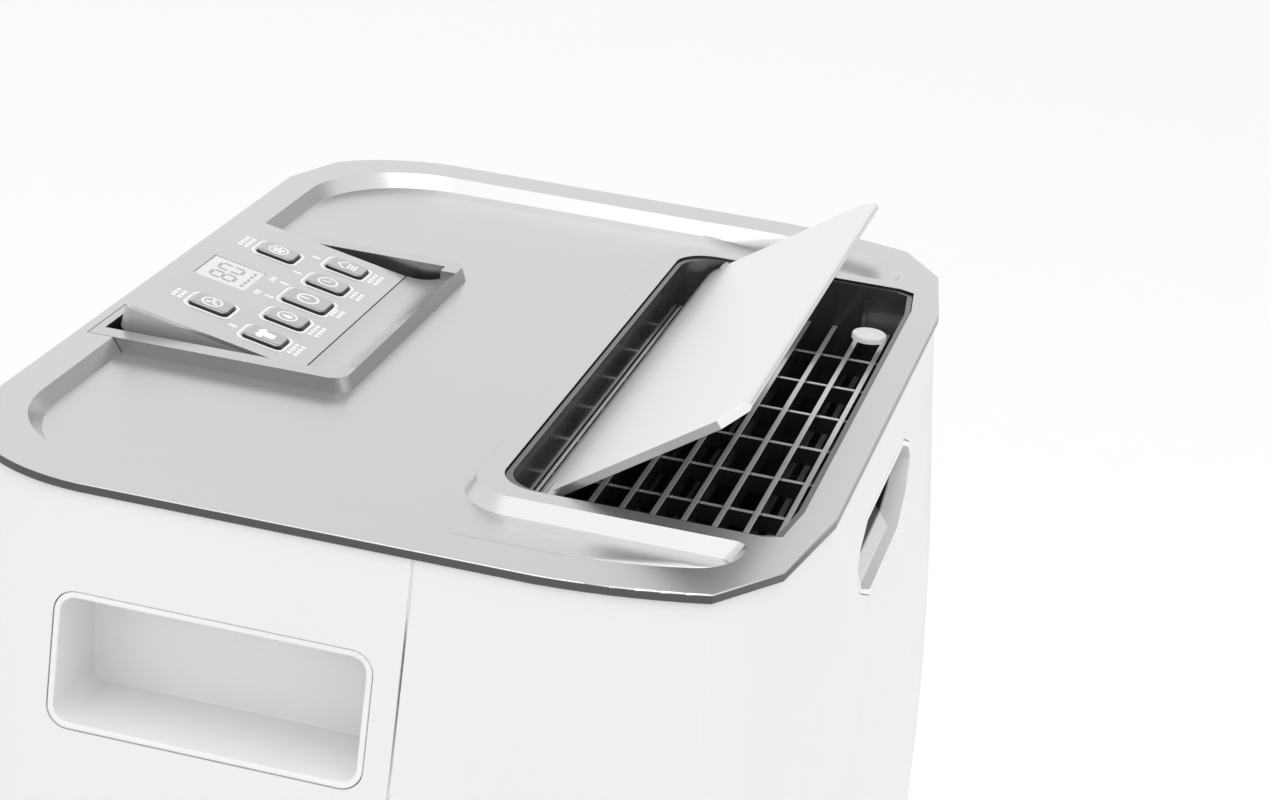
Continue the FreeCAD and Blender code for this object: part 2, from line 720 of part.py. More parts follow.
def make_housing_screws():
    """Pan head screws with a cross recess, seated in the rear housing's bosses."""
    y = 130.0 + GAP
    shank = 14.0
    arm = 2.2
    half = 0.5
    screws = []
    for x, z in screw_places():
        head = cyl(3.8, 2.6, V(x, y, z), V(0, 1, 0))
        cross = box(x - arm, x + arm, y + 1.4, y + 3.0, z - half, z + half)
        cross = cross.fuse(box(x - half, x + half, y + 1.4, y + 3.0, z - arm, z + arm))
        screws.append(head.fuse(cyl(SCREW_R, shank, V(x, y - shank, z), V(0, 1, 0))).cut(cross))
    return Part.makeCompound(screws)


def make_drain_spigot():
    """Hose spigot behind the back's port, fed by a pipe from the drip tray."""
    x = -PORT_X
    z = PORT_Z
    pipe_y = 106.0
    plate_y = 112.0
    radius = 6.5
    bore_r = 4.5
    half = 21.0
    tube = cyl(radius, 36.0, V(x, pipe_y, z), V(0, 1, 0))
    plate = rounded_box(x - half, x + half, plate_y, plate_y + 3.0, z - half, z + half, 0.8)
    feed = cyl(radius, 86.0, V(x, pipe_y, z))
    bore = cyl(bore_r, 40.0, V(x, pipe_y, z), V(0, 1, 0))
    return cut_all(fuse([tube, plate, feed]), [bore, cyl(bore_r, 90.0, V(x, pipe_y, z))])


def make_cord_gland():
    """Rubber grommet at the cord inlet, held by a collar inside the shell."""
    d = half_size_at(PORT_Z)[1]
    start = 131.5
    ring = cyl(9.0, d - start, V(PORT_X, start, PORT_Z), V(0, 1, 0))
    collar = cyl(12.0, 3.0, V(PORT_X, 138.0, PORT_Z), V(0, 1, 0))
    bore = cyl(3.8, 40.0, V(PORT_X, 120.0, PORT_Z), V(0, 1, 0))
    return fuse([ring, collar]).cut(bore)


# ---- base, wheels and tank --------------------------------------------------------------------
def wheel_arch(side, grow, top):
    half = WHEEL_WIDTH / 2.0 + 2.0 + grow
    reach = WHEEL_R + 3.0 + grow
    x = side * WHEEL_X
    return box(x - half, x + half, WHEEL_Y - reach, WHEEL_Y + reach, 0.0, top)


def make_base_pan():
    w, d = half_size_at(PAN_Z)
    top = PAN_Z + PAN_THICK
    pan = plan_prism(w - WALL - 1.2, d - WALL - 1.2, PAN_Z, top)
    pieces = [pan]
    for side in (-1, 1):
        arch = wheel_arch(side, 2.0, WHEEL_R * 2 + 5.0)
        pieces.append(arch.common(box(-w, w, -d, d, PAN_Z, WHEEL_R * 3)))
        for x in (side * (WHEEL_X - 14.5), side * (WHEEL_X + 14.5)):
            pieces.append(box(x - 3.0, x + 3.0, WHEEL_Y - 9.0, WHEEL_Y + 9.0, WHEEL_R - 7.0, PAN_Z + 1.0))
    for x in (-90.0, 0.0, 90.0):
        pieces.append(box(x - 3.0, x + 3.0, TUB_FRONT_Y, TANK_REAR_Y, top - 0.5, TANK_BOTTOM - GAP))
    tools = [wheel_arch(side, 0.0, WHEEL_R * 2 + 3.0) for side in (-1, 1)]
    tools.append(cyl(AXLE_R + RUN_GAP, 2 * w, V(-w, WHEEL_Y, WHEEL_R), V(1, 0, 0)))
    return cut_all(fuse(pieces), tools)


def make_wheel_axle():
    half = WHEEL_X + 19.0
    return cyl(AXLE_R, 2 * half, V(-half, WHEEL_Y, WHEEL_R), V(1, 0, 0))


def make_wheel(side):
    """Wheel with a rounded tread and six spokes standing in a shallow dish on each face."""
    x0 = side * WHEEL_X - WHEEL_WIDTH / 2.0
    x1 = x0 + WHEEL_WIDTH
    centre = V(x0, WHEEL_Y, WHEEL_R)
    dish_r = 20.0
    dish_depth = 3.0
    hub_r = 8.5
    tyre = cyl(WHEEL_R, WHEEL_WIDTH, centre, V(1, 0, 0))
    tyre = tyre.makeFillet(3.0, [e for e in tyre.Edges if e.Length > 100.0 and e.Closed])
    tools = [cyl(AXLE_R + RUN_GAP, 30.0, centre - V(5.0, 0, 0), V(1, 0, 0))]
    for face in (x0 - 1.0, x1 - dish_depth):
        start = V(face, WHEEL_Y, WHEEL_R)
        ring = cyl(dish_r, dish_depth + 1.0, start, V(1, 0, 0))
        tools.append(ring.cut(cyl(hub_r, dish_depth + 1.0, start, V(1, 0, 0))))
    pieces = [cut_all(tyre, tools)]
    for i in range(6):
        arm = box(x0 + 0.8, x1 - 0.8, WHEEL_Y - 1.5, WHEEL_Y + 1.5,
                  WHEEL_R + hub_r - 1.0, WHEEL_R + dish_r + 1.0)
        arm.rotate(V(0, WHEEL_Y, WHEEL_R), V(1, 0, 0), 60.0 * i)
        pieces.append(arm)
    return fuse(pieces)


def make_front_feet():
    feet = []
    for x in (-128.0, 128.0):
        foot = Part.makeCone(14.0, 17.0, PAN_Z, V(x, -92.0, 0.0))
        feet.append(foot.makeFillet(1.5, [e for e in foot.Edges if e.BoundBox.ZMax < 1.0]))
    return Part.makeCompound(feet)


def make_bulkhead():
    """Deck over the tank, with a wall down to the pan between tank and compressor."""
    w, d = half_size_at(DECK_Z)
    thick = 3.0
    low = DECK_Z - 1.0
    high = DECK_Z + thick + 1.0
    deck = plan_prism(w - WALL - 1.5, d - WALL - 1.5, DECK_Z, DECK_Z + thick)
    wall = box(-172.0, 172.0, 0.0, thick, PAN_Z + PAN_THICK + 0.2, DECK_Z + 1.0)
    drip = cyl(8.0, high - low, V(0, SPOUT_Y, low))
    pipes = box(20.0, 172.0, 84.0, 116.0, low, high)
    drain = cyl(8.0, high - low, V(-PORT_X, 106.0, low))
    return cut_all(deck.fuse(wall), [drip, pipes, drain])


def make_water_tank():
    """Open tub with rounded corners."""
    w = TANK_HALF_W
    tub = rounded_box(-w, w, TUB_FRONT_Y, TANK_REAR_Y, TANK_BOTTOM, TANK_TOP, 10.0)
    w = w - TANK_WALL
    hollow = rounded_box(-w, w, TUB_FRONT_Y + TANK_WALL, TANK_REAR_Y - TANK_WALL,
                         TANK_BOTTOM + TANK_WALL, TANK_TOP + 1.0, 8.0)
    return tub.cut(hollow)


def make_tank_front():
    """White front panel that follows the body's face, with a finger pocket and ribs to the tub."""
    w = TANK_HALF_W
    rib_end = TUB_FRONT_Y - 0.02
    panel = body_solid(0.8).cut(body_solid(3.8, 4.0))
    panel = panel.common(box(-w, w, -200.0, -120.0, TANK_BOTTOM, TANK_FRONT_TOP))
    inside = body_solid(2.0)
    cup = box(-44.5, 44.5, -150.0, -126.0, 217.5, 252.5).common(inside)
    pieces = [panel, cup]
    for x in (-96.0, -64.0, 64.0, 96.0):
        rib = box(x - 1.0, x + 1.0, -150.0, rib_end, TANK_BOTTOM + 8.0, TANK_TOP - 8.0)
        pieces.append(rib.common(inside))
    pocket = box(-42.0, 42.0, -200.0, -128.0, 220.0, 250.0)
    pocket = pocket.makeFillet(6.0, [e for e in pocket.Edges if e.BoundBox.YLength > 10.0])
    return fuse(pieces).cut(pocket)


def make_tank_lid():
    """Lid with a locating lip, handle lugs, two lugs and a pin for the float, and two holes."""
    z = TANK_TOP
    lid = rounded_box(-TANK_HALF_W, TANK_HALF_W, TUB_FRONT_Y, TANK_REAR_Y, z + 0.02, z + 2.5, 10.0)
    lip = box(-100.0, 100.0, -108.0, -14.0, z - 4.0, z + 1.0)
    lip = lip.cut(box(-98.0, 98.0, -106.0, -16.0, z - 5.0, z + 2.0))
    pieces = [lid, lip]
    for side in (-1, 1):
        x = side * 98.0
        pieces.append(box(x - 3.0, x + 3.0, BAIL_Y - 6.0, BAIL_Y + 6.0, z + 1.0, z + 13.0))
        lug = FLOAT_X + side * 7.5
        pieces.append(box(lug - 1.5, lug + 1.5, FLOAT_Y - 4.5, FLOAT_Y + 4.5, FLOAT_Z - 5.0, z + 1.0))
    pieces.append(cyl(PIN_R, 15.0, V(FLOAT_X - 7.5, FLOAT_Y, FLOAT_Z), V(1, 0, 0)))
    tools = [box(-18.0, 18.0, SPOUT_Y - 8.0, SPOUT_Y + 7.5, z - 5.0, z + 4.0),
             cyl(10.0, 10.0, V(70.0, -111.0, z - 5.0))]
    for side in (-1, 1):
        tools.append(cyl(BAIL_PIN_R + RUN_GAP, 30.0, V(side * 85.0, BAIL_Y, BAIL_Z), V(side, 0, 0)))
    return cut_all(fuse(pieces), tools)


def make_tank_handle():
    """U-shaped round bar, folded flat over the lid, with a pin at each end."""
    z = BAIL_Z
    half = 90.0
    arm = 22.0
    bar_y = BAIL_Y - arm
    pieces = [cyl(4.0, 2 * half, V(-half, bar_y, z), V(1, 0, 0))]
    for side in (-1, 1):
        x = side * half
        pieces.append(cyl(3.5, arm, V(x, bar_y, z), V(0, 1, 0)))
        pieces.append(Part.makeSphere(4.0, V(x, bar_y, z)))
        pieces.append(Part.makeSphere(3.5, V(x, BAIL_Y, z)))
        pieces.append(cyl(BAIL_PIN_R, 10.5, V(x, BAIL_Y, z), V(side, 0, 0)))
    return fuse(pieces)


def make_tank_float():
    """Foam block on an arm that swings about a pin below the lid."""
    x = FLOAT_X
    z = FLOAT_Z
    half = 16.0
    block = rounded_box(x - half, x + half, -92.0, -60.0, z - 16.0, z + 5.0, 5.0)
    arm = box(x - 2.5, x + 2.5, -62.0, FLOAT_Y, z - 3.0, z + 3.0)
    eye = cyl(5.0, 8.0, V(x - 4.0, FLOAT_Y, z), V(1, 0, 0))
    bore = cyl(PIN_R + RUN_GAP, 20.0, V(x - 10.0, FLOAT_Y, z), V(1, 0, 0))
    return fuse([block, arm, eye]).cut(bore)


def make_tank_switch():
    """Microswitch under the deck, with a spring lever that the tank's float works."""
    x = FLOAT_X
    case = box(x - 10.0, x + 10.0, -62.0, -42.0, DECK_Z - 14.0, DECK_Z - 0.2)
    lever = box(x - 2.0, x + 2.0, -66.0, -40.0, DECK_Z - 16.0, DECK_Z - 15.2)
    post = box(x - 2.0, x + 2.0, -44.0, -42.0, DECK_Z - 15.5, DECK_Z - 13.5)
    return fuse([case, lever, post])


# ---- air and cooling parts --------------------------------------------------------------------
def scroll_section(shrink, y):
    """Spiral fan casing seen along Y, mouth at the top."""
    start = math.radians(70.0)
    turn = math.radians(290.0)
    small_r = FAN_R + 8.0
    growth = 24.0
    steps = 24
    points = []
    for i in range(steps + 1):
        t = i / steps
        a = start + turn * t
        r = small_r + growth * t - shrink
        points.append(V(r * math.cos(a), y, FAN_Z + r * math.sin(a)))
    curve = Part.BSplineCurve()
    curve.interpolate(points)
    top = FAN_Z + 95.8 + shrink
    right = V(points[-1].x, y, top)
    left = V(22.0 + shrink, y, top)
    edges = [curve.toShape(), Part.LineSegment(points[-1], right).toShape(),
             Part.LineSegment(right, left).toShape(), Part.LineSegment(left, points[0]).toShape()]
    return Part.Face(Part.Wire(edges))


def make_fan_scroll():
    depth = SCROLL_REAR_Y - SCROLL_FRONT_Y
    wall = 2.0
    outer = scroll_section(0.0, SCROLL_FRONT_Y).extrude(V(0, depth, 0))
    inner = scroll_section(wall, SCROLL_FRONT_Y + wall).extrude(V(0, depth - 2 * wall, 0))
    feet = [box(x - 8.0, x + 8.0, SCROLL_FRONT_Y + 4.0, SCROLL_REAR_Y - 4.0, DECK_Z + 3.2, FAN_Z - 92.0)
            for x in (-34.0, 34.0)]
    solid = fuse([outer] + feet)
    inlet = cyl(62.0, 10.0, V(0, SCROLL_REAR_Y - 5.0, FAN_Z), V(0, 1, 0))
    hub = cyl(8.0, 10.0, V(0, SCROLL_FRONT_Y - 5.0, FAN_Z), V(0, 1, 0))
    return cut_all(solid, [inner, inlet, hub])


def make_fan_impeller():
    y0 = SCROLL_FRONT_Y + 6.0
    depth = 54.0
    blades = 32
    blade_half = 0.9
    blade_lean = 28.0
    back = cyl(FAN_R, 2.5, V(0, y0, FAN_Z), V(0, 1, 0))
    hub = cyl(14.0, 20.0, V(0, y0, FAN_Z), V(0, 1, 0))
    ring = cyl(FAN_R, 4.0, V(0, y0 + depth - 4.0, FAN_Z), V(0, 1, 0))
    ring = ring.cut(cyl(FAN_R - 3.0, 10.0, V(0, y0 + depth - 8.0, FAN_Z), V(0, 1, 0)))
    pieces = [back, hub, ring]
    blade = box(-blade_half, blade_half, y0 + 1.0, y0 + depth - 1.0,
                FAN_Z + FAN_R - 15.0, FAN_Z + FAN_R - 0.6)
    blade.rotate(V(0, 0, FAN_Z + FAN_R - 8.0), V(0, 1, 0), blade_lean)
    for i in range(blades):
        one = blade.copy()
        one.rotate(V(0, 0, FAN_Z), V(0, 1, 0), 360.0 / blades * i)
        pieces.append(one)
    wheel = pieces[0].multiFuse(pieces[1:])
    wheel = wheel.common(cyl(FAN_R, depth, V(0, y0, FAN_Z), V(0, 1, 0)))
    return wheel.cut(cyl(SHAFT_R, 60.0, V(0, y0 - 5.0, FAN_Z), V(0, 1, 0)))


def make_fan_shaft():
    return cyl(SHAFT_R, 48.0, V(0, SCROLL_FRONT_Y - 24.0, FAN_Z), V(0, 1, 0))


def make_fan_motor():
    can = cyl(38.0, 29.0, V(0, SCROLL_FRONT_Y - 31.0, FAN_Z), V(0, 1, 0))
    can = can.makeFillet(4.0, [e for e in can.Edges if e.BoundBox.YMax < SCROLL_FRONT_Y - 30.0])
    plate = cyl(44.0, 2.0, V(0, SCROLL_FRONT_Y - 2.2, FAN_Z), V(0, 1, 0))
    bore = cyl(SHAFT_R + RUN_GAP, 40.0, V(0, SCROLL_FRONT_Y - 26.0, FAN_Z), V(0, 1, 0))
    return fuse([can, plate]).cut(bore)


def make_coil(y0, bends_side):
    """Fin pack with tubes running along X and return bends at one end."""
    depth = 22.0
    middle = y0 + depth / 2
    z0 = DECK_Z + 25.0
    height = 172.0
    step = 21.0
    half = 117.0
    fin_pitch = 5.2
    fin_thick = 0.5
    plate_thick = 1.2
    tube_r = 3.9
    tube_z = [z0 + 12.5 + step * i for i in range(8)]
    holes = Part.makeCompound([cyl(tube_r + 0.2, 10.0, V(-5.0, middle, z), V(1, 0, 0)) for z in tube_z])
    fin = box(0, fin_thick, y0, y0 + depth, z0, z0 + height).cut(holes)
    plate = box(0, plate_thick, y0, y0 + depth, z0 - 18.0, z0 + height).cut(holes)
    sheets = [(fin, -half + fin_pitch * i) for i in range(46)]
    sheets += [(plate, -half - 3.0), (plate, half + 3.0 - plate_thick)]
    solids = []
    for sheet, x in sheets:
        one = sheet.copy()
        one.translate(V(x, 0, 0))
        solids.append(one)
    plain_end = -bends_side * (half + 9.0)
    bend_end = bends_side * (half + 15.0)
    for low, high in zip(tube_z[0::2], tube_z[1::2]):
        path = [V(plain_end, middle, low), V(bend_end, middle, low),
                V(bend_end, middle, high), V(plain_end, middle, high)]
        solids.append(tube_along(path, tube_r, 9.0))
    return Part.makeCompound(solids)


def make_drip_tray():
    """Tray under both coils, with a gutter forward to a spout over the tank."""
    z0 = DECK_Z + 3.2
    floor = z0 + 2.5
    above = z0 + 30.0
    tray = box(-128.0, 128.0, 50.0, 118.0, z0, z0 + 20.0).cut(box(-126.0, 126.0, 52.0, 116.0, floor, above))
    gutter = box(-12.0, 12.0, -27.0, 52.0, z0, z0 + 12.0).cut(box(-10.0, 10.0, -25.0, 53.0, floor, above))
    spout = cyl(6.0, 20.0, V(0, SPOUT_Y, z0 - 18.0))
    spout_bore = cyl(4.5, 30.0, V(0, SPOUT_Y, z0 - 20.0))
    hose_hole = cyl(8.0, 8.0, V(-PORT_X, 106.0, z0 - 2.0))
    mouth = box(-10.0, 10.0, 40.0, 54.0, floor, above)
    return cut_all(fuse([tray, gutter, spout]), [spout_bore, hose_hole, mouth])


def make_compressor():
    """Round welded shell on a foot plate, with a terminal block on top."""
    x = COMPRESSOR_X
    y = COMPRESSOR_Y
    z0 = PAN_Z + PAN_THICK + 12.0
    can = cyl(54.0, 150.0, V(x, y, z0 + 8.0))
    can = can.makeFillet(22.0, [e for e in can.Edges if e.Closed and e.Length > 100.0])
    plate = rounded_box(x - 60.0, x + 60.0, y - 56.0, y + 56.0, z0, z0 + 3.0, 12.0)
    terminal = box(x - 10.0, x + 10.0, y - 10.0, y + 10.0, z0 + 156.0, z0 + 172.0)
    pieces = [can, plate, terminal]
    for i in range(3):
        a = math.radians(90.0 + 120.0 * i)
        pieces.append(cyl(5.0, 22.0, V(x + 30.0 * math.cos(a), y + 30.0 * math.sin(a), z0)))
    return fuse(pieces)


def make_compressor_mounts():
    z0 = PAN_Z + PAN_THICK
    mounts = []
    for dx, dy in ((-50.0, -46.0), (50.0, -46.0), (0.0, 46.0)):
        mounts.append(cyl(8.0, 12.0, V(COMPRESSOR_X + dx, COMPRESSOR_Y + dy, z0)))
    return Part.makeCompound(mounts)


def make_refrigerant_pipes():
    """Suction and discharge pipes that leave beside the shell's top and rise to the coils' ends."""
    z0 = PAN_Z + PAN_THICK + 150.0
    coil_half = 11.0
    side_x = COMPRESSOR_X + 54.5
    pipes = []
    for y, rise_x, coil_y in ((COMPRESSOR_Y - 8.0, 142.0, EVAPORATOR_Y + coil_half),
                              (COMPRESSOR_Y + 8.0, 160.0, EVAPORATOR_Y + coil_half)):
        turn_z = DECK_Z - 40.0
        path = [V(side_x, y, z0), V(rise_x, y, z0), V(rise_x, y, turn_z), V(rise_x, coil_y, turn_z),
                V(rise_x, coil_y, DECK_Z + 40.0)]
        pipes.append(tube_along(path, 3.0, 9.0))
    return Part.makeCompound(pipes)


def make_capacitor():
    x = -75.0
    y = 60.0
    z0 = PAN_Z + PAN_THICK + 0.2
    height = 92.0
    can = cyl(20.0, height, V(x, y, z0))
    can = can.makeFillet(2.0, [e for e in can.Edges if e.Closed and e.BoundBox.ZMin > z0 + height / 2])
    pieces = [can]
    for tab_x in (x - 6.0, x + 6.0):
        pieces.append(box(tab_x - 3.0, tab_x + 3.0, y - 0.4, y + 0.4, z0 + height - 1.0, z0 + height + 8.0))
    return fuse(pieces)


def make_main_board():
    """Upright board beside the fan, with a transformer, three relays and three capacitors."""
    face = -156.5
    pieces = [box(-158.0, face + 0.1, 10.0, 100.0, DECK_Z + 20.0, DECK_Z + 150.0)]
    pieces.append(box(face, -138.0, 20.0, 44.0, DECK_Z + 32.0, DECK_Z + 60.0))
    for i in range(3):
        y = 56.0 + 14.0 * i
        pieces.append(box(face, -142.0, y, y + 10.0, DECK_Z + 100.0, DECK_Z + 118.0))
        pieces.append(cyl(5.0, 18.0, V(face, y + 5.0, DECK_Z + 80.0), V(1, 0, 0)))
    return fuse(pieces)


def make_humidity_sensor():
    card = box(136.0, 160.0, 96.0, 98.0, 440.0, 470.0)
    return card.fuse(box(142.0, 154.0, 97.5, 102.0, 448.0, 460.0))


def save(name, shape):
    for i, solid in enumerate(shape.Solids):
        if not solid.isValid() or solid.Volume <= 0:
            print("BAD", name, i, solid.isValid(), solid.Volume)
    if not shape.Solids:
        print("EMPTY", name)
    shape.exportStep("parts/" + name + ".step")


def main():
    os.makedirs("parts", exist_ok=True)
    makers = {
        "top_cover": make_top_cover,
        "outlet_well": make_outlet_well,
        "outlet_grille": make_outlet_grille,
        "guide_vanes": make_guide_vanes,
        "ioniser_cap": make_ioniser_cap,
        "air_duct": make_air_duct,
        "outlet_flap": make_outlet_flap,
        "flap_pins": make_flap_pins,
        "panel_bezel": make_panel_bezel,
        "panel_overlay": make_panel_overlay,
        "display_window": make_display_window,
        "panel_tray": make_panel_tray,
        "panel_pins": make_panel_pins,
        "control_pcb": make_control_pcb,
        "key_switches": make_key_switches,
        "front_housing": make_front_housing,
        "rear_housing": make_rear_housing,
        "front_grip": make_front_grip,
        "filter_cover": make_filter_cover,
        "filter_mesh": make_filter_mesh,
        "housing_screws": make_housing_screws,
        "drain_spigot": make_drain_spigot,
        "cord_gland": make_cord_gland,
        "base_pan": make_base_pan,
        "wheel_axle": make_wheel_axle,
        "front_feet": make_front_feet,
        "bulkhead": make_bulkhead,
        "water_tank": make_water_tank,
        "tank_front": make_tank_front,
        "tank_lid": make_tank_lid,
        "tank_handle": make_tank_handle,
        "tank_float": make_tank_float,
        "tank_switch": make_tank_switch,
        "fan_scroll": make_fan_scroll,
        "fan_impeller": make_fan_impeller,
        "fan_shaft": make_fan_shaft,
        "fan_motor": make_fan_motor,
        "drip_tray": make_drip_tray,
        "compressor": make_compressor,
        "compressor_mounts": make_compressor_mounts,
        "refrigerant_pipes": make_refrigerant_pipes,
        "capacitor": make_capacitor,
        "main_board": make_main_board,
        "humidity_sensor": make_humidity_sensor,
    }
    for name, maker in makers.items():
        save(name, maker())
    for name in key_places():
        save(name, make_key(name))
    save("left_grip", make_grip(-1))
    save("right_grip", make_grip(1))
    save("left_wheel", make_wheel(-1))
    save("right_wheel", make_wheel(1))
    save("evaporator", make_coil(EVAPORATOR_Y, 1))
    save("condenser", make_coil(CONDENSER_Y, -1))


main()
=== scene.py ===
import json
import math

import bmesh
import bpy
from mathutils import Euler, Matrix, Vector


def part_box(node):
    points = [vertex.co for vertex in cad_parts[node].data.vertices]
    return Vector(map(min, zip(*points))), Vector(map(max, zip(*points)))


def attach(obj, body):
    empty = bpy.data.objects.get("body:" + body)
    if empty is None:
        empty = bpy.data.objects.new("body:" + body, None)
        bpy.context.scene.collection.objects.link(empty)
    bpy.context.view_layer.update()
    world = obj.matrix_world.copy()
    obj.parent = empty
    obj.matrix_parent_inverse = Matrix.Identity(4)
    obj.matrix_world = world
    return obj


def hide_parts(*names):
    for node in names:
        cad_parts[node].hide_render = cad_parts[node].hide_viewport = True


# The dehumidifier's looks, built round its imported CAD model. Blender works in metres. Lengths in
# millimetres are turned into metres with MM.

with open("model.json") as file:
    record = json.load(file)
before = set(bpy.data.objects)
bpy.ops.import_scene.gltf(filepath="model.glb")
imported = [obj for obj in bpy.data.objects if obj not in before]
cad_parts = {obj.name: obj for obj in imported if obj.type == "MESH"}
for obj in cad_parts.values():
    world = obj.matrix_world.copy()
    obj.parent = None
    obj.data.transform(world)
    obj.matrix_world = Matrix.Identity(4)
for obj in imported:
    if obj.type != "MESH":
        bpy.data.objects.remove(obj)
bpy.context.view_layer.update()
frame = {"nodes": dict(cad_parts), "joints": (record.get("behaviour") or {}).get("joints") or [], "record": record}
NODES = frame["nodes"]
JOINTS = {joint["name"]: joint for joint in frame["joints"]}
MM = 0.001
TOP_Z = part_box("top_cover")[1].z


# ---- shader helpers ---------------------------------------------------------------------------
NO_STRETCH = (1.0, 1.0, 1.0)
NOISE_LOW = 0.3           # nearly all of a noise texture lies between these two values
NOISE_HIGH = 0.7
DRIFT_SCALE = 14.0
WEAR_SCALE = 40.0
GRAIN_DEPTH = 0.2 * MM
COAT_ROUGH = 0.05
FROST_DRIFT_SCALE = 30.0
FROST_WEAR_SCALE = 20.0
FROST_SPREAD = 0.02
PLASTIC_IOR = 1.46


def new_material(name):
    material = bpy.data.materials.new(name)
    material.use_nodes = True
    tree = material.node_tree
    tree.nodes.clear()
    out = tree.nodes.new("ShaderNodeOutputMaterial")
    shader = tree.nodes.new("ShaderNodeBsdfPrincipled")
    tree.links.new(shader.outputs["BSDF"], out.inputs["Surface"])
    return material, tree, shader


def find_shader(material):
    return next(node for node in material.node_tree.nodes if node.type == "BSDF_PRINCIPLED")


def add_noise(tree, scale, detail, stretch=NO_STRETCH):
    coord = tree.nodes.new("ShaderNodeTexCoord")
    mapping = tree.nodes.new("ShaderNodeMapping")
    mapping.inputs["Scale"].default_value = stretch
    noise = tree.nodes.new("ShaderNodeTexNoise")
    noise.inputs["Scale"].default_value = scale
    noise.inputs["Detail"].default_value = detail
    tree.links.new(coord.outputs["Object"], mapping.inputs["Vector"])
    tree.links.new(mapping.outputs["Vector"], noise.inputs["Vector"])
    return noise.outputs["Fac"]


def add_axis(tree, output, axis):
    """One axis of the part's own coordinates ("Object") or of its own normals ("Normal")."""
    coord = tree.nodes.new("ShaderNodeTexCoord")
    split = tree.nodes.new("ShaderNodeSeparateXYZ")
    tree.links.new(coord.outputs[output], split.inputs["Vector"])
    return split.outputs[axis]


def add_ramp(tree, source, start, end, low=0.0, high=1.0):
    """Maps a value from start..end to low..high."""
    ramp = tree.nodes.new("ShaderNodeMapRange")
    ramp.inputs["From Min"].default_value = start
    ramp.inputs["From Max"].default_value = end
    ramp.inputs["To Min"].default_value = low
    ramp.inputs["To Max"].default_value = high
    tree.links.new(source, ramp.inputs["Value"])
    return ramp


def add_range(tree, noise, low, high):
    return add_ramp(tree, noise, NOISE_LOW, NOISE_HIGH, low, high).outputs["Result"]


def add_mix(tree, factor, first, second):
    """A colour from the first to the second. Each is a red, green, blue triple or a socket."""
    mix = tree.nodes.new("ShaderNodeMix")
    mix.data_type = "RGBA"
    for name, color in (("A", first), ("B", second)):
        if isinstance(color, bpy.types.NodeSocket):
            tree.links.new(color, mix.inputs[name])
        else:
            mix.inputs[name].default_value = (*color, 1.0)
    tree.links.new(factor, mix.inputs["Factor"])
    return mix.outputs["Result"]


def add_bump(tree, shader, source, strength):
    bump = tree.nodes.new("ShaderNodeBump")
    bump.inputs["Strength"].default_value = strength
    bump.inputs["Distance"].default_value = GRAIN_DEPTH
    tree.links.new(source, bump.inputs["Height"])
    tree.links.new(bump.outputs["Normal"], shader.inputs["Normal"])


def moulded(name, color, rough, spread=0.05, metal=0.0, coat=0.0, grain=900.0, bump=0.06, tint=0.04,
            stretch=NO_STRETCH):
    """A moulded or painted surface: broad colour drift, uneven gloss and a fine surface grain."""
    material, tree, shader = new_material(name)
    drift = add_range(tree, add_noise(tree, DRIFT_SCALE, 2.0), 0.0, 1.0)
    dark = tuple(c * (1.0 - tint) for c in color)
    light = tuple(min(1.0, c * (1.0 + tint * 0.5)) for c in color)
    tree.links.new(add_mix(tree, drift, dark, light), shader.inputs["Base Color"])
    wear = add_noise(tree, WEAR_SCALE, 1.0, stretch)
    tree.links.new(add_range(tree, wear, rough - spread, rough + spread), shader.inputs["Roughness"])
    shader.inputs["Metallic"].default_value = metal
    shader.inputs["Coat Weight"].default_value = coat
    shader.inputs["Coat Roughness"].default_value = COAT_ROUGH
    if bump:
        add_bump(tree, shader, add_noise(tree, grain, 2.0, stretch), bump)
    return material


def frosted(name, color, rough, transmission):
    """A plastic that lets some light through."""
    material, tree, shader = new_material(name)
    drift = add_noise(tree, FROST_DRIFT_SCALE, 2.0)
    light = tuple(min(1.0, c * 1.03) for c in color)
    tree.links.new(add_mix(tree, drift, color, light), shader.inputs["Base Color"])
    wear = add_noise(tree, FROST_WEAR_SCALE, 1.0)
    gloss = add_range(tree, wear, rough - FROST_SPREAD, rough + FROST_SPREAD)
    tree.links.new(gloss, shader.inputs["Roughness"])
    shader.inputs["Transmission Weight"].default_value = transmission
    shader.inputs["IOR"].default_value = PLASTIC_IOR
    return material


def repaint(material, factor, first, second):
    """Mixes two colours into the material. None stands for the colour that it has already."""
    shader = find_shader(material)
    present = shader.inputs["Base Color"].links[0].from_socket
    mixed = add_mix(material.node_tree, factor, first or present, second or present)
    material.node_tree.links.new(mixed, shader.inputs["Base Color"])


def paint_shade_on_sides(material, color, start=0.1, end=0.5):
    """Painted shade: steep faces of a part, as it stands at rest, get a darker colour that stands in for the shade
    and dark reflections on them.
    """
    tree = material.node_tree
    upward = add_ramp(tree, add_axis(tree, "Normal", "Z"), start, end)
    repaint(material, upward.outputs["Result"], color, None)


def paint_shadow_behind(material, color, edge_y):
    """Painted shadow: whatever lies deeper than this edge has the second colour, which stands in for the shade in
    a hollow.
    """
    tree = material.node_tree
    deep = add_ramp(tree, add_axis(tree, "Object", "Y"), edge_y, edge_y + 0.8 * MM)
    repaint(material, deep.outputs["Result"], None, color)


def add_painted_glow(material, strength):
    """Painted light: the material glows a little, so that it keeps its white in the shade of the well."""
    shader = find_shader(material)
    shader.inputs["Emission Color"].default_value = (1.0, 1.0, 1.0, 1.0)
    shader.inputs["Emission Strength"].default_value = strength


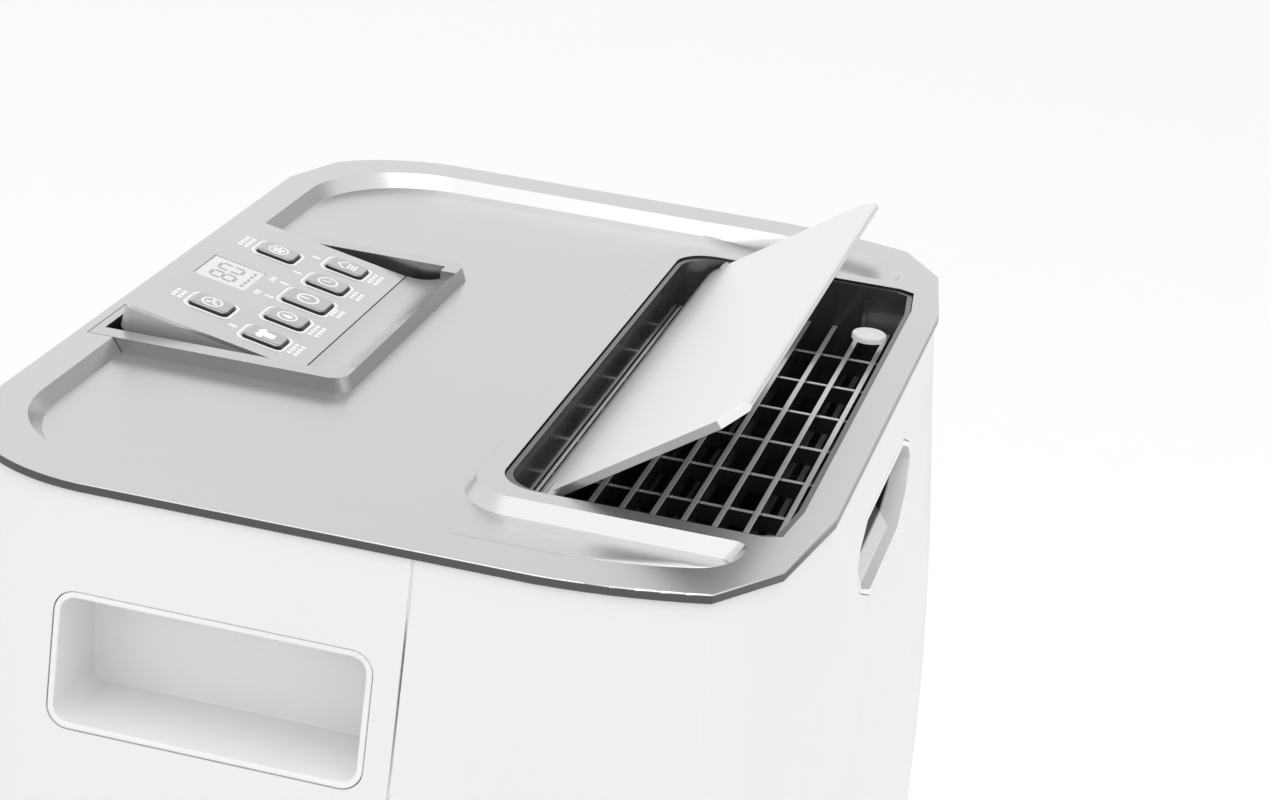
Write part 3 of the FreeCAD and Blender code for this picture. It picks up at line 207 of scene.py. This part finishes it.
# ---- materials --------------------------------------------------------------------------------
# Cover and outlet
SILVER = moulded("silver_satin", (0.69, 0.69, 0.695), rough=0.27, spread=0.003, metal=0.92, bump=0.0,
                 tint=0.012, stretch=(1.0, 3.0, 1.0))
# Painted shade: the cover's steep sides, such as the rim, are painted darker.
paint_shade_on_sides(SILVER, (0.10, 0.10, 0.102))
BEZEL = moulded("bezel_satin", (0.64, 0.64, 0.645), rough=0.25, spread=0.015, metal=0.92, bump=0.0,
                tint=0.012)
# Painted shade: the bezel's steep faces are painted darker.
paint_shade_on_sides(BEZEL, (0.25, 0.25, 0.255))
CHARCOAL = moulded("charcoal_gloss", (0.055, 0.055, 0.058), rough=0.22, coat=0.4, grain=500.0, bump=0.04)
BAR = moulded("bar_silver", (0.78, 0.78, 0.785), rough=0.22, metal=0.5, coat=0.4, bump=0.0)
# Painted shade: the bars' sides are painted nearly black.
paint_shade_on_sides(BAR, (0.05, 0.05, 0.051), 0.35, 0.9)
VANE = moulded("vane_grey", (0.07, 0.07, 0.072), rough=0.4)
FLAP = moulded("flap_pearl", (0.87, 0.87, 0.872), rough=0.28, spread=0.003, metal=0.75, coat=0.1,
               bump=0.0, tint=0.012)
# Painted shade: the flap's steeper faces, such as the curve near its hinge, are painted darker.
paint_shade_on_sides(FLAP, (0.40, 0.40, 0.405), 0.0, 0.3)
CAP = moulded("cap_white", (0.95, 0.95, 0.95), rough=0.6)
# Painted light: the cap glows a little of its own.
add_painted_glow(CAP, 0.3)

# Control panel
OVERLAY = moulded("overlay_grey", (0.66, 0.66, 0.665), rough=0.2, spread=0.02, metal=0.7, coat=0.25,
                  bump=0.0)
TRAY = moulded("tray_grey", (0.45, 0.45, 0.455), rough=0.38, metal=0.3)
KEYCAP = moulded("key_gloss", (0.50, 0.50, 0.505), rough=0.16, spread=0.03, metal=0.6, coat=0.6, bump=0.0)
# Painted dark reflection: the keycaps' sloping sides are painted nearly black.
paint_shade_on_sides(KEYCAP, (0.006, 0.006, 0.006), 0.45, 0.93)
PRINT = moulded("print_white", (0.93, 0.93, 0.93), rough=0.4, tint=0.02)
LCD = moulded("lcd_pale", (0.78, 0.79, 0.76), rough=0.3, coat=0.8, tint=0.03)
LCD_INK = moulded("lcd_ink", (0.42, 0.43, 0.43), rough=0.4)
LENS = frosted("display_lens", (0.92, 0.93, 0.91), 0.08, 0.9)
BOARD = moulded("circuit_board", (0.02, 0.17, 0.07), rough=0.35, coat=0.3, tint=0.2)
BLACK = moulded("deep_black", (0.012, 0.012, 0.013), rough=0.45, grain=700.0)

# Housings, grips, wheels and feet
WHITE = moulded("white_shell", (0.775, 0.775, 0.771), rough=0.32, spread=0.03, bump=0.0, tint=0.008)
GRIP = moulded("grip_grey", (0.80, 0.80, 0.80), rough=0.5, grain=1600.0, bump=0.05)
POCKET = moulded("pocket_white", (0.86, 0.86, 0.855), rough=0.35, spread=0.03, bump=0.0, tint=0.01)
# Painted shadow: the front grip's hollow is painted black deeper than this edge.
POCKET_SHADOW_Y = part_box("front_grip")[0].y + 7.5 * MM
paint_shadow_behind(POCKET, (0.008, 0.008, 0.008), POCKET_SHADOW_Y)
RUBBER = moulded("rubber_black", (0.02, 0.02, 0.02), rough=0.7, spread=0.08, grain=1400.0, bump=0.25)
NYLON = moulded("nylon_black", (0.028, 0.028, 0.03), rough=0.42, grain=900.0, bump=0.1)
MESH_GREY = moulded("mesh_grey", (0.16, 0.165, 0.17), rough=0.6, grain=2500.0, bump=0.3)

# Tank
TANK = frosted("tank_frost", (0.86, 0.90, 0.93), 0.4, 0.3)
PLAIN = moulded("plain_white", (0.80, 0.80, 0.80), rough=0.45, grain=1200.0, bump=0.1)
FLOAT = moulded("float_foam", (0.15, 0.28, 0.50), rough=0.75, grain=2200.0, bump=0.5, tint=0.1)

# Machinery
STEEL = moulded("plain_steel", (0.55, 0.55, 0.56), rough=0.3, metal=1.0, grain=400.0, bump=0.08,
                stretch=(6.0, 1.0, 1.0))
ZINC = moulded("zinc_screw", (0.62, 0.62, 0.62), rough=0.28, metal=1.0, grain=900.0)
ENAMEL = moulded("black_enamel", (0.012, 0.012, 0.012), rough=0.22, coat=0.4, grain=300.0, bump=0.08)
FINS = moulded("coil_fins", (0.78, 0.79, 0.81), rough=0.3, metal=1.0, grain=800.0,
               stretch=(8.0, 1.0, 1.0))
COPPER = moulded("copper_pipe", (0.80, 0.42, 0.28), rough=0.3, metal=1.0, tint=0.15)
INNER = moulded("inner_dark", (0.07, 0.07, 0.075), rough=0.5, grain=1200.0, bump=0.15)

SLOT_MATERIAL = {
    "silver_cover": SILVER, "silver_bezel": BEZEL, "white_housing": WHITE, "well_charcoal": CHARCOAL,
    "grille_grey": BAR, "vane_black": VANE, "flap_pale": FLAP, "cap_white": CAP,
    "overlay_grey": OVERLAY, "display_lens": LENS, "tray_grey": TRAY, "circuit_board": BOARD,
    "switch_black": BLACK, "key_grey": KEYCAP, "grip_grey": GRIP, "mesh_grey": MESH_GREY,
    "tank_frost": TANK, "lid_white": PLAIN, "float_blue": FLOAT, "steel_plain": STEEL,
    "zinc_screw": ZINC, "compressor_black": ENAMEL, "coil_fins": FINS, "copper_pipe": COPPER,
    "rubber_black": RUBBER, "wheel_black": NYLON, "inner_plastic": INNER, "foam_white": PLAIN,
    "capacitor_case": ZINC,
}


def paint_nodes():
    """Every CAD node takes the material of its slot. The front hand grip takes one of its own."""
    for entry in frame["record"]["subparts"]:
        for slot in NODES[entry["node"]].material_slots:
            slot.material = SLOT_MATERIAL[entry["material_slot"]]
    for slot in NODES["front_grip"].material_slots:
        slot.material = POCKET


# ---- mesh helpers -----------------------------------------------------------------------------
CIRCLE_STEPS = 28


def make_piece(name, verts, faces, material, body, smooth=False):
    """A mesh that moves with one body of the frame."""
    mesh = bpy.data.meshes.new(name)
    mesh.from_pydata([tuple(v) for v in verts], [], faces)
    mesh.update()
    obj = bpy.data.objects.new(name, mesh)
    bpy.context.scene.collection.objects.link(obj)
    mesh.materials.append(material)
    fix = bmesh.new()
    fix.from_mesh(mesh)
    bmesh.ops.recalc_face_normals(fix, faces=fix.faces)
    fix.to_mesh(mesh)
    fix.free()
    if smooth:
        mesh.shade_smooth()
    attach(obj, body)
    return obj


def slab(outline, low, high, place):
    """Verts and faces of a flat solid with this outline, between two heights, put in place."""
    n = len(outline)
    verts = [place(x, y, low) for x, y in outline] + [place(x, y, high) for x, y in outline]
    faces = [tuple(range(n - 1, -1, -1)), tuple(range(n, 2 * n))]
    faces += [(i, (i + 1) % n, n + (i + 1) % n, n + i) for i in range(n)]
    return verts, faces


def ring_slab(outer, inner, low, high, place):
    """Verts and faces of a flat solid between two outlines with the same number of points."""
    n = len(outer)
    verts = []
    for loop in (outer, inner):
        for z in (low, high):
            verts += [place(x, y, z) for x, y in loop]
    faces = []
    for i in range(n):
        j = (i + 1) % n
        faces.append((n + i, n + j, 3 * n + j, 3 * n + i))
        faces.append((i, n + i, n + j, j)[::-1])
        faces.append((2 * n + i, 3 * n + i, 3 * n + j, 2 * n + j))
        faces.append((i, j, 2 * n + j, 2 * n + i)[::-1])
    return verts, faces


def loft_faces(stations, points):
    """Faces of a closed solid through cross-sections that have the same number of points each."""
    faces = [tuple(range(points)), tuple(range((stations - 1) * points, stations * points))]
    for i in range(stations - 1):
        near = i * points
        far = near + points
        for k in range(points):
            j = (k + 1) % points
            faces.append((near + k, near + j, far + j, far + k))
    return faces


def merged(parts):
    verts = []
    faces = []
    for part_verts, part_faces in parts:
        base = len(verts)
        verts += part_verts
        faces += [tuple(base + i for i in face) for face in part_faces]
    return verts, faces


def rounded_rect(cx, cy, width, height, radius, steps=6):
    points = []
    for qx, qy, start in ((1, 1, 0), (-1, 1, 90), (-1, -1, 180), (1, -1, 270)):
        ox = cx + qx * (width / 2 - radius)
        oy = cy + qy * (height / 2 - radius)
        for k in range(steps + 1):
            angle = math.radians(start + 90.0 * k / steps)
            points.append((ox + radius * math.cos(angle), oy + radius * math.sin(angle)))
    return points


def rect(cx, cy, width, height):
    w = width / 2
    h = height / 2
    return [(cx - w, cy - h), (cx + w, cy - h), (cx + w, cy + h), (cx - w, cy + h)]


def circle(radius):
    turns = [2 * math.pi * k / CIRCLE_STEPS for k in range(CIRCLE_STEPS)]
    return [(radius * math.cos(a), radius * math.sin(a)) for a in turns]


def turned(outline, angle):
    c = math.cos(angle)
    s = math.sin(angle)
    return [(x * c - y * s, x * s + y * c) for x, y in outline]


# ---- softened edges on the CAD nodes ----------------------------------------------------------
WELD_DISTANCE = 0.01 * MM
FLAT_ANGLE = math.radians(0.4)
EDGE_ANGLE = math.radians(25.0)
EDGE_SEGMENTS = 3
NORMAL_WEIGHT = 80

# Nodes whose facets aren't merged, because that spoils the shading round their openings
KEEP_FACETS = ("panel_bezel", "front_housing")

# Width in millimetres of each node's rounded edges
SOFT_EDGES = {
    "top_cover": 0.45, "panel_bezel": 0.45, "outlet_flap": 0.5, "outlet_well": 0.3,
    "outlet_grille": 0.3, "ioniser_cap": 0.2, "panel_overlay": 0.12, "panel_tray": 0.4,
    "front_housing": 0.5, "front_grip": 0.6, "left_grip": 0.8, "right_grip": 0.8, "filter_cover": 0.4,
    "tank_front": 0.6, "water_tank": 0.5, "tank_lid": 0.4, "tank_handle": 0.3, "base_pan": 0.4,
    "front_feet": 0.5, "drain_spigot": 0.3, "cord_gland": 0.4, "left_wheel": 0.4, "right_wheel": 0.4,
    "housing_screws": 0.15,
}


def soften(node, width):
    """Rounds the node's sharp edges a little with modifiers, and leaves its flat faces flat."""
    obj = NODES[node]
    weld = obj.modifiers.new("weld", "WELD")
    weld.merge_threshold = WELD_DISTANCE
    if node not in KEEP_FACETS:
        flat = obj.modifiers.new("flat", "DECIMATE")
        flat.decimate_type = "DISSOLVE"
        flat.angle_limit = FLAT_ANGLE
    bevel = obj.modifiers.new("edge", "BEVEL")
    bevel.width = width * MM
    bevel.segments = EDGE_SEGMENTS
    bevel.limit_method = "ANGLE"
    bevel.angle_limit = EDGE_ANGLE
    bevel.use_clamp_overlap = True
    normals = obj.modifiers.new("normals", "WEIGHTED_NORMAL")
    normals.mode = "FACE_AREA"
    normals.weight = NORMAL_WEIGHT


# ---- control panel: prints, symbols and display ------------------------------------------------
# Sizes on the panel are in millimetres: x across, v up the slope from the panel's front edge.
TILT = -math.radians(JOINTS["panel_tilt"]["range_deg"][0])
PANEL_SKIN = 1.6 * MM
PANEL_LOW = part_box("panel_overlay")[0]
PANEL_Y = PANEL_LOW.y
PANEL_Z = PANEL_LOW.z + PANEL_SKIN * math.cos(TILT)
PRINT_THICK = 0.07

KEYS = ("key_laundry", "key_humidity", "key_power", "key_timer", "key_purifier", "key_speed", "key_turbo")
KEY_TOP = 1.3             # a key cap's height above the panel's face
KEY_LIP = 0.9             # a key cap's hidden lip, inside the panel
KEY_LONGER = 3.8          # a key cap's length over its width
REAR_ROW_V = 30.0         # keys beyond this are in the rear row

OUTLINE_OUTER = 3.4       # the printed frame's size over the key cap's
OUTLINE_INNER = 1.6
OUTLINE_OUTER_R = 3.2
OUTLINE_INNER_R = 2.4

LABEL_BEHIND = 12.2       # from a key's centre to its label
LABEL_BEFORE = 11.6
SHORT_LABELS = ("key_power", "key_timer", "key_speed")
MARK_PITCH = 2.5
MARK_ROW = 1.2
MARK_SIZE = (1.7, 1.5)

LIGHT_V = 11.9            # indicator dashes, from the power key's centre
LIGHT_XS = (-40.0, -7.0, 8.0, 21.0, 40.0)
LIGHT_SIZE = (1.4, 3.4, 0.6)
TALLY_XS = (-7.0, 8.0)
TALLY_V = 4.4
TALLY_PITCH = 1.5
TALLY_SIZE = (0.9, 2.2)


def on_panel(x, v, w):
    """A point from panel axes in millimetres: across, up the slope, off the face."""
    return Vector((x * MM, PANEL_Y + (v * math.cos(TILT) - w * math.sin(TILT)) * MM,
                   PANEL_Z + (v * math.sin(TILT) + w * math.cos(TILT)) * MM))


def panel_centre(node):
    """A node's centre across and up the slope, in millimetres."""
    low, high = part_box(node)
    centre = (low + high) / 2
    v = ((centre.y - PANEL_Y) * math.cos(TILT) + (centre.z - PANEL_Z) * math.sin(TILT)) / MM
    return centre.x / MM, v


def key_width(name):
    low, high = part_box(name)
    return (high.x - low.x) / MM - 2 * KEY_LIP


def printed(outline):
    return slab(outline, 0.0, PRINT_THICK, on_panel)


def key_outline(name):
    """A white printed frame round a key."""
    x, v = panel_centre(name)
    width = key_width(name)
    length = width + KEY_LONGER
    outer = rounded_rect(x, v, width + OUTLINE_OUTER, length + OUTLINE_OUTER, OUTLINE_OUTER_R)
    inner = rounded_rect(x, v, width + OUTLINE_INNER, length + OUTLINE_INNER, OUTLINE_INNER_R)
    return ring_slab(outer, inner, 0.0, PRINT_THICK, on_panel)


def key_label(name):
    """Two rows of plain marks that stand for a key's label."""
    x, v = panel_centre(name)
    label_v = v + LABEL_BEHIND if v > REAR_ROW_V else v - LABEL_BEFORE
    count = 3 if name in SHORT_LABELS else 4
    parts = []
    for row in (-MARK_ROW, MARK_ROW):
        for i in range(count):
            mark_x = x + (i - (count - 1) / 2) * MARK_PITCH
            parts.append(printed(rect(mark_x, label_v + row, *MARK_SIZE)))
    return parts


def indicator_marks():
    """A row of dashes behind the keys, with three tally marks over two of them."""
    x0, v0 = panel_centre("key_power")
    parts = [printed(rounded_rect(x0 + x, v0 + LIGHT_V, *LIGHT_SIZE)) for x in LIGHT_XS]
    for x in TALLY_XS:
        for i in (-1, 0, 1):
            parts.append(printed(rect(x0 + x + i * TALLY_PITCH, v0 + LIGHT_V + TALLY_V, *TALLY_SIZE)))
    return parts


def make_print():
    parts = []
    for name in KEYS:
        parts.append(key_outline(name))
        parts += key_label(name)
    parts += indicator_marks()
    verts, faces = merged(parts)
    print_piece = make_piece("panel_print", verts, faces, PRINT, "control_panel")


# Each symbol is a list of outlines round a key's centre. A pair of outlines is a ring.
def ring(radius, width):
    return circle(radius), circle(radius - width)


def laundry_symbol():
    """A shirt, drawn as its right half and that half's mirror image."""
    right = [(1.9, -3.4), (1.9, 0.8), (3.2, 0.2), (3.9, 1.9), (1.6, 3.4), (0.8, 2.8)]
    return [right + [(-x, y) for x, y in reversed(right)]]


def humidity_symbol():
    """A drop in a ring."""
    drop_r = 1.35
    turns = [math.radians(20 - 22 * k) for k in range(11)]
    drop = [(0.0, 2.3)] + [(drop_r * math.cos(a), drop_r * math.sin(a) - 0.6) for a in turns]
    return [ring(3.7, 0.7), drop]


def power_symbol():
    """A stroke in a ring."""
    return [ring(4.1, 0.9), rect(0.0, 1.2, 0.9, 3.2)]


def timer_symbol():
    """A clock face with two hands."""
    return [ring(3.8, 0.75), rect(0.0, 0.9, 0.75, 2.4), turned(rect(0.8, 0.0, 2.0, 0.75), -0.5)]


def purifier_symbol():
    """A roof over three bars."""
    roof = [(-3.9, 0.4), (0.0, 3.9), (3.9, 0.4), (2.9, 0.4), (0.0, 3.0), (-2.9, 0.4)]
    return [roof] + [rect(0.0, -0.7 - 1.3 * i, 4.8 - 0.5 * (i % 2), 0.75) for i in range(3)]


def fan_symbol(blades):
    """Fan blades in a ring."""
    blade = [(0.3, -0.3), (1.9, -1.0), (2.6, 0.0), (1.9, 0.7), (0.3, 0.3)]
    return [ring(3.8, 0.7)] + [turned(blade, 2 * math.pi * i / blades) for i in range(blades)]


SYMBOLS = {
    "key_laundry": laundry_symbol(), "key_humidity": humidity_symbol(), "key_power": power_symbol(),
    "key_timer": timer_symbol(), "key_purifier": purifier_symbol(), "key_speed": fan_symbol(3),
    "key_turbo": fan_symbol(5),
}


def make_key_faces():
    """Each cap gets its white symbol, sunk a little into it."""
    low = KEY_TOP - 0.02
    high = KEY_TOP + PRINT_THICK
    for name in KEYS:
        x, v = panel_centre(name)

        def on_key(px, pv, w):
            return on_panel(x + px, v + pv, w)

        parts = []
        for shape in SYMBOLS[name]:
            if isinstance(shape, tuple):
                parts.append(ring_slab(*shape, low, high, on_key))
            else:
                parts.append(slab(shape, low, high, on_key))
        verts, faces = merged(parts)
        icon = make_piece(name + "_icon", verts, faces, PRINT, name + "_cap")


SCREEN_SIZE = (20.2, 19.2, 0.5)
SCREEN_FACE = -0.25       # the screen lies this far under the panel's face
SCREEN_THICK = 1.3
DIGIT_X = 4.0             # digit centres, from the screen's centre
DIGIT_V = 1.0
DIGIT_HALF_W = 2.5        # digit bars, from the digit's centre
DIGIT_HALF_H = 4.4
FLAT_BAR = (3.9, 1.1)
UPRIGHT_BAR = (1.1, 3.4)
BAR_CORNER = 0.4
SCREEN_MARKS = 5
SCREEN_MARK_PITCH = 3.2
SCREEN_MARK_V = -7.2
SCREEN_MARK_SIZE = (2.0, 1.0)

# The seven bars of a digit: side, height, and whether the bar lies flat
DIGIT_BARS = {"a": (0.0, 1.0, True), "b": (1.0, 0.5, False), "c": (1.0, -0.5, False),
              "d": (0.0, -1.0, True), "e": (-1.0, -0.5, False), "f": (-1.0, 0.5, False),
              "g": (0.0, 0.0, True)}


def digit(cx, cy, bars):
    outlines = []
    for bar in bars:
        side, height, flat = DIGIT_BARS[bar]
        size = FLAT_BAR if flat else UPRIGHT_BAR
        outlines.append(rounded_rect(cx + side * DIGIT_HALF_W, cy + height * DIGIT_HALF_H, *size,
                                     BAR_CORNER, 3))
    return outlines


def make_display():
    """Pale glossy display with two digits and a row of small marks, in place of the plain window."""
    v0 = panel_centre("display_window")[1]
    outline = rounded_rect(0.0, v0, *SCREEN_SIZE)
    verts, faces = slab(outline, SCREEN_FACE - SCREEN_THICK, SCREEN_FACE, on_panel)
    screen = make_piece("display_face", verts, faces, LCD, "control_panel")
    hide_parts("display_window")
    outlines = digit(-DIGIT_X, v0 + DIGIT_V, "abcdefg") + digit(DIGIT_X, v0 + DIGIT_V, "abcdef")
    for i in range(SCREEN_MARKS):
        mark_x = (i - (SCREEN_MARKS - 1) / 2) * SCREEN_MARK_PITCH
        outlines.append(rect(mark_x, v0 + SCREEN_MARK_V, *SCREEN_MARK_SIZE))
    ink = [slab(outline, SCREEN_FACE, SCREEN_FACE + PRINT_THICK, on_panel) for outline in outlines]
    verts, faces = merged(ink)
    digits = make_piece("display_digits", verts, faces, LCD_INK, "control_panel")


# ---- the hollow outer walls of the cover's side grooves -----------------------------------------
# The cover's own sizes, in millimetres
FIELD_HALF_W = 163.5
FRAME_HALF_W = 130.5
GROOVE_END_Y = -112.0
FIELD_DROP = 5.0
COVER_BEVEL = 3.3

DISH_WIDE = 15.0          # the hollow's width where it is widest
DISH_STEPS = 10
DISH_SINK = 0.4           # the piece reaches this far under the field
DISH_LIFT = 0.03          # and this far over the cover's border
ARC_STEPS = 14
STRAIGHT_STEPS = 10
STRAIGHT_STEP = 3.0


def arc_through(start, middle, end):
    """Points on the arc through three points, without the first one."""
    (ax, ay), (bx, by), (cx, cy) = start, middle, end
    d = 2 * (ax * (by - cy) + bx * (cy - ay) + cx * (ay - by))
    aa = ax * ax + ay * ay
    bb = bx * bx + by * by
    cc = cx * cx + cy * cy
    ox = (aa * (by - cy) + bb * (cy - ay) + cc * (ay - by)) / d
    oy = (aa * (cx - bx) + bb * (ax - cx) + cc * (bx - ax)) / d
    radius = math.hypot(ax - ox, ay - oy)
    first = math.atan2(ay - oy, ax - ox)
    sweep = math.atan2(cy - oy, cx - ox) - first
    sweep = (sweep + math.pi) % (2 * math.pi) - math.pi
    turns = [first + sweep * (k + 1) / ARC_STEPS for k in range(ARC_STEPS)]
    return [(ox + radius * math.cos(a), oy + radius * math.sin(a)) for a in turns]


def dish_path():
    """The top edge of the right groove's outer wall, from the front end to the rear."""
    end = (FRAME_HALF_W + 5.0, GROOVE_END_Y)
    bend = (FIELD_HALF_W - 8.1, -99.4)
    side = (FIELD_HALF_W, -60.0)
    path = [end] + arc_through(end, (FIELD_HALF_W - 14.0, GROOVE_END_Y + 4.0), bend)
    path += arc_through(bend, (FIELD_HALF_W - 1.8, -77.0), side)
    return path + [(side[0], side[1] + STRAIGHT_STEP * (k + 1)) for k in range(STRAIGHT_STEPS)]


def dish_section(t):
    """Distance in from the wall's top edge, and height, at a point of the path from 0 to 1."""
    swell = math.sin(math.pi * t) ** (0.8 if t < 0.5 else 1.8)
    width = COVER_BEVEL + (DISH_WIDE - COVER_BEVEL) * swell
    power = 1.0 + 1.2 * swell
    foot = -FIELD_DROP - DISH_SINK
    section = [(0.0, foot)]
    for k in range(DISH_STEPS + 1):
        rest = 1.0 - k / DISH_STEPS
        section.append((width * (1.0 - rest), -FIELD_DROP * (1.0 - rest ** power) + DISH_LIFT * rest))
    return section + [(width, foot)]


def make_groove_dishes():
    """The outer wall of each side groove is a wide hollow that turns round the groove's front end."""
    path = dish_path()
    last = len(path) - 1
    for side, name in ((-1, "groove_dish_left"), (1, "groove_dish_right")):
        verts = []
        for i, (x, y) in enumerate(path):
            before = path[max(i - 1, 0)]
            after = path[min(i + 1, last)]
            along = Vector((after[0] - before[0], after[1] - before[1])).normalized()
            for offset, height in dish_section(i / last):
                verts.append((side * (x - along.y * offset) * MM, (y + along.x * offset) * MM,
                              TOP_Z + height * MM))
        faces = loft_faces(len(path), DISH_STEPS + 3)
        dish = make_piece(name, verts, faces, SILVER, "machine", smooth=True)
        dish.data.set_sharp_from_angle(angle=math.radians(40.0))


# ---- the seams between the housings -------------------------------------------------------------
SEAM_TOLERANCE = 0.02 * MM
SEAM_PITCH = 4.0 * MM
SEAM_REACH = 100.0 * MM   # everything on the seam is farther out than this
SEAM_INSET = 0.25 * MM
SEAM_DEPTH = 1.6 * MM
SEAM_HALF_GAP = 0.27 * MM
SEAM_MIDDLE = 0.3 * MM    # from the rear housing's front edge to the middle of the gap


def seam_profile(side):
    """Height and reach of the rear housing's outer edge along the seam, lowest first."""
    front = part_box("rear_housing")[0].y
    reach = {}
    for vert in NODES["rear_housing"].data.vertices:
        x, y, z = vert.co
        if abs(y - front) < SEAM_TOLERANCE and x * side > SEAM_REACH:
            key = round(z, 4)
            reach[key] = max(reach.get(key, 0.0), abs(x))
    outer = sorted(reach.items())
    keep = [outer[0]]
    for z, x in outer[1:]:
        if z - keep[-1][0] > SEAM_PITCH:
            keep.append((z, x))
    return keep


def make_seam_tongues():
    """A white tongue in the gap between the housings, so that the seam is a shallow groove."""
    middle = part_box("rear_housing")[0].y - SEAM_MIDDLE
    for side, name in ((-1, "seam_tongue_left"), (1, "seam_tongue_right")):
        profile = seam_profile(side)
        verts = []
        for z, x in profile:
            outer = side * (x - SEAM_INSET)
            inner = side * (x - SEAM_INSET - SEAM_DEPTH)
            verts += [(outer, middle - SEAM_HALF_GAP, z), (outer, middle + SEAM_HALF_GAP, z),
                      (inner, middle + SEAM_HALF_GAP, z), (inner, middle - SEAM_HALF_GAP, z)]
        tongue = make_piece(name, verts, loft_faces(len(profile), 4), WHITE, "machine")


# ---- camera, light and floor --------------------------------------------------------------------
SENSOR_WIDTH = 36.0
LENS_LENGTH = 79.94
CAMERA_PLACE = Vector((-0.8824, -0.2382, TOP_Z + 0.3413))
CAMERA_TURN = (68.4014, -5.6182, -75.4094)

SKY = 0.955
# Soft dark and bright patches of the sky: direction, value, and the angles where each fades out
SKY_PATCHES = (
    ((0.75, -0.66, 0.06), 0.42, 14.0, 36.0),
    ((0.60, 0.05, 0.80), 0.40, 12.0, 27.0),
    ((-0.73, 0.0, 0.68), 1.3, 18.0, 42.0),
    ((-0.32, 0.24, 0.86), 1.6, 8.0, 20.0),
)
FLOOR_HALF = 12.0


def make_camera():
    data = bpy.data.cameras.new("camera")
    data.sensor_width = SENSOR_WIDTH
    data.lens = LENS_LENGTH
    data.clip_start = 0.05
    data.clip_end = 50.0
    camera = bpy.data.objects.new("camera", data)
    bpy.context.scene.collection.objects.link(camera)
    camera.location = CAMERA_PLACE
    camera.rotation_euler = Euler([math.radians(angle) for angle in CAMERA_TURN])
    bpy.context.scene.camera = camera


def add_patch(tree, direction, value, inner, outer, before):
    """Changes the sky to this value round one direction, fading out between two angles in degrees."""
    coord = tree.nodes.new("ShaderNodeTexCoord")
    dot = tree.nodes.new("ShaderNodeVectorMath")
    dot.operation = "DOT_PRODUCT"
    dot.inputs[1].default_value = Vector(direction).normalized()
    tree.links.new(coord.outputs["Generated"], dot.inputs[0])
    fade = add_ramp(tree, dot.outputs["Value"], math.cos(math.radians(outer)),
                    math.cos(math.radians(inner)))
    fade.interpolation_type = "SMOOTHSTEP"
    return add_mix(tree, fade.outputs["Result"], before, (value, value, value))


def make_world():
    world = bpy.data.worlds.new("studio")
    bpy.context.scene.world = world
    world.use_nodes = True
    tree = world.node_tree
    tree.nodes.clear()
    out = tree.nodes.new("ShaderNodeOutputWorld")
    back = tree.nodes.new("ShaderNodeBackground")
    color = (SKY, SKY, SKY)
    for direction, value, inner, outer in SKY_PATCHES:
        color = add_patch(tree, direction, value, inner, outer, color)
    tree.links.new(color, back.inputs["Color"])
    tree.links.new(back.outputs["Background"], out.inputs["Surface"])


def add_area(name, place, aim, size, power):
    """A soft rectangular light."""
    data = bpy.data.lights.new(name, "AREA")
    data.shape = "RECTANGLE"
    data.size = size[0]
    data.size_y = size[1]
    data.energy = power
    light = bpy.data.objects.new(name, data)
    bpy.context.scene.collection.objects.link(light)
    light.location = place
    light.rotation_euler = (Vector(aim) - Vector(place)).to_track_quat("-Z", "Y").to_euler()


def make_floor():
    mesh = bpy.data.meshes.new("floor")
    corners = rect(0.0, 0.0, 2 * FLOOR_HALF, 2 * FLOOR_HALF)
    mesh.from_pydata([(x, y, 0.0) for x, y in corners], [], [(0, 1, 2, 3)])
    floor = bpy.data.objects.new("floor", mesh)
    bpy.context.scene.collection.objects.link(floor)
    mesh.materials.append(moulded("pale_floor", (0.97, 0.97, 0.97), rough=0.7, tint=0.002, bump=0.0))


make_camera()
make_world()
make_floor()
add_area("overhead", (-0.6, -0.2, 2.6), (0.0, 0.0, 0.5), (1.6, 1.2), 7.6)
add_area("front_fill", (0.5, -1.9, 0.7), (0.0, 0.0, 0.45), (1.4, 1.2), 3.2)
bpy.context.scene.view_settings.view_transform = "Standard"
paint_nodes()
for node, width in SOFT_EDGES.items():
    soften(node, width)
make_print()
make_key_faces()
make_display()
make_seam_tongues()
make_groove_dishes()
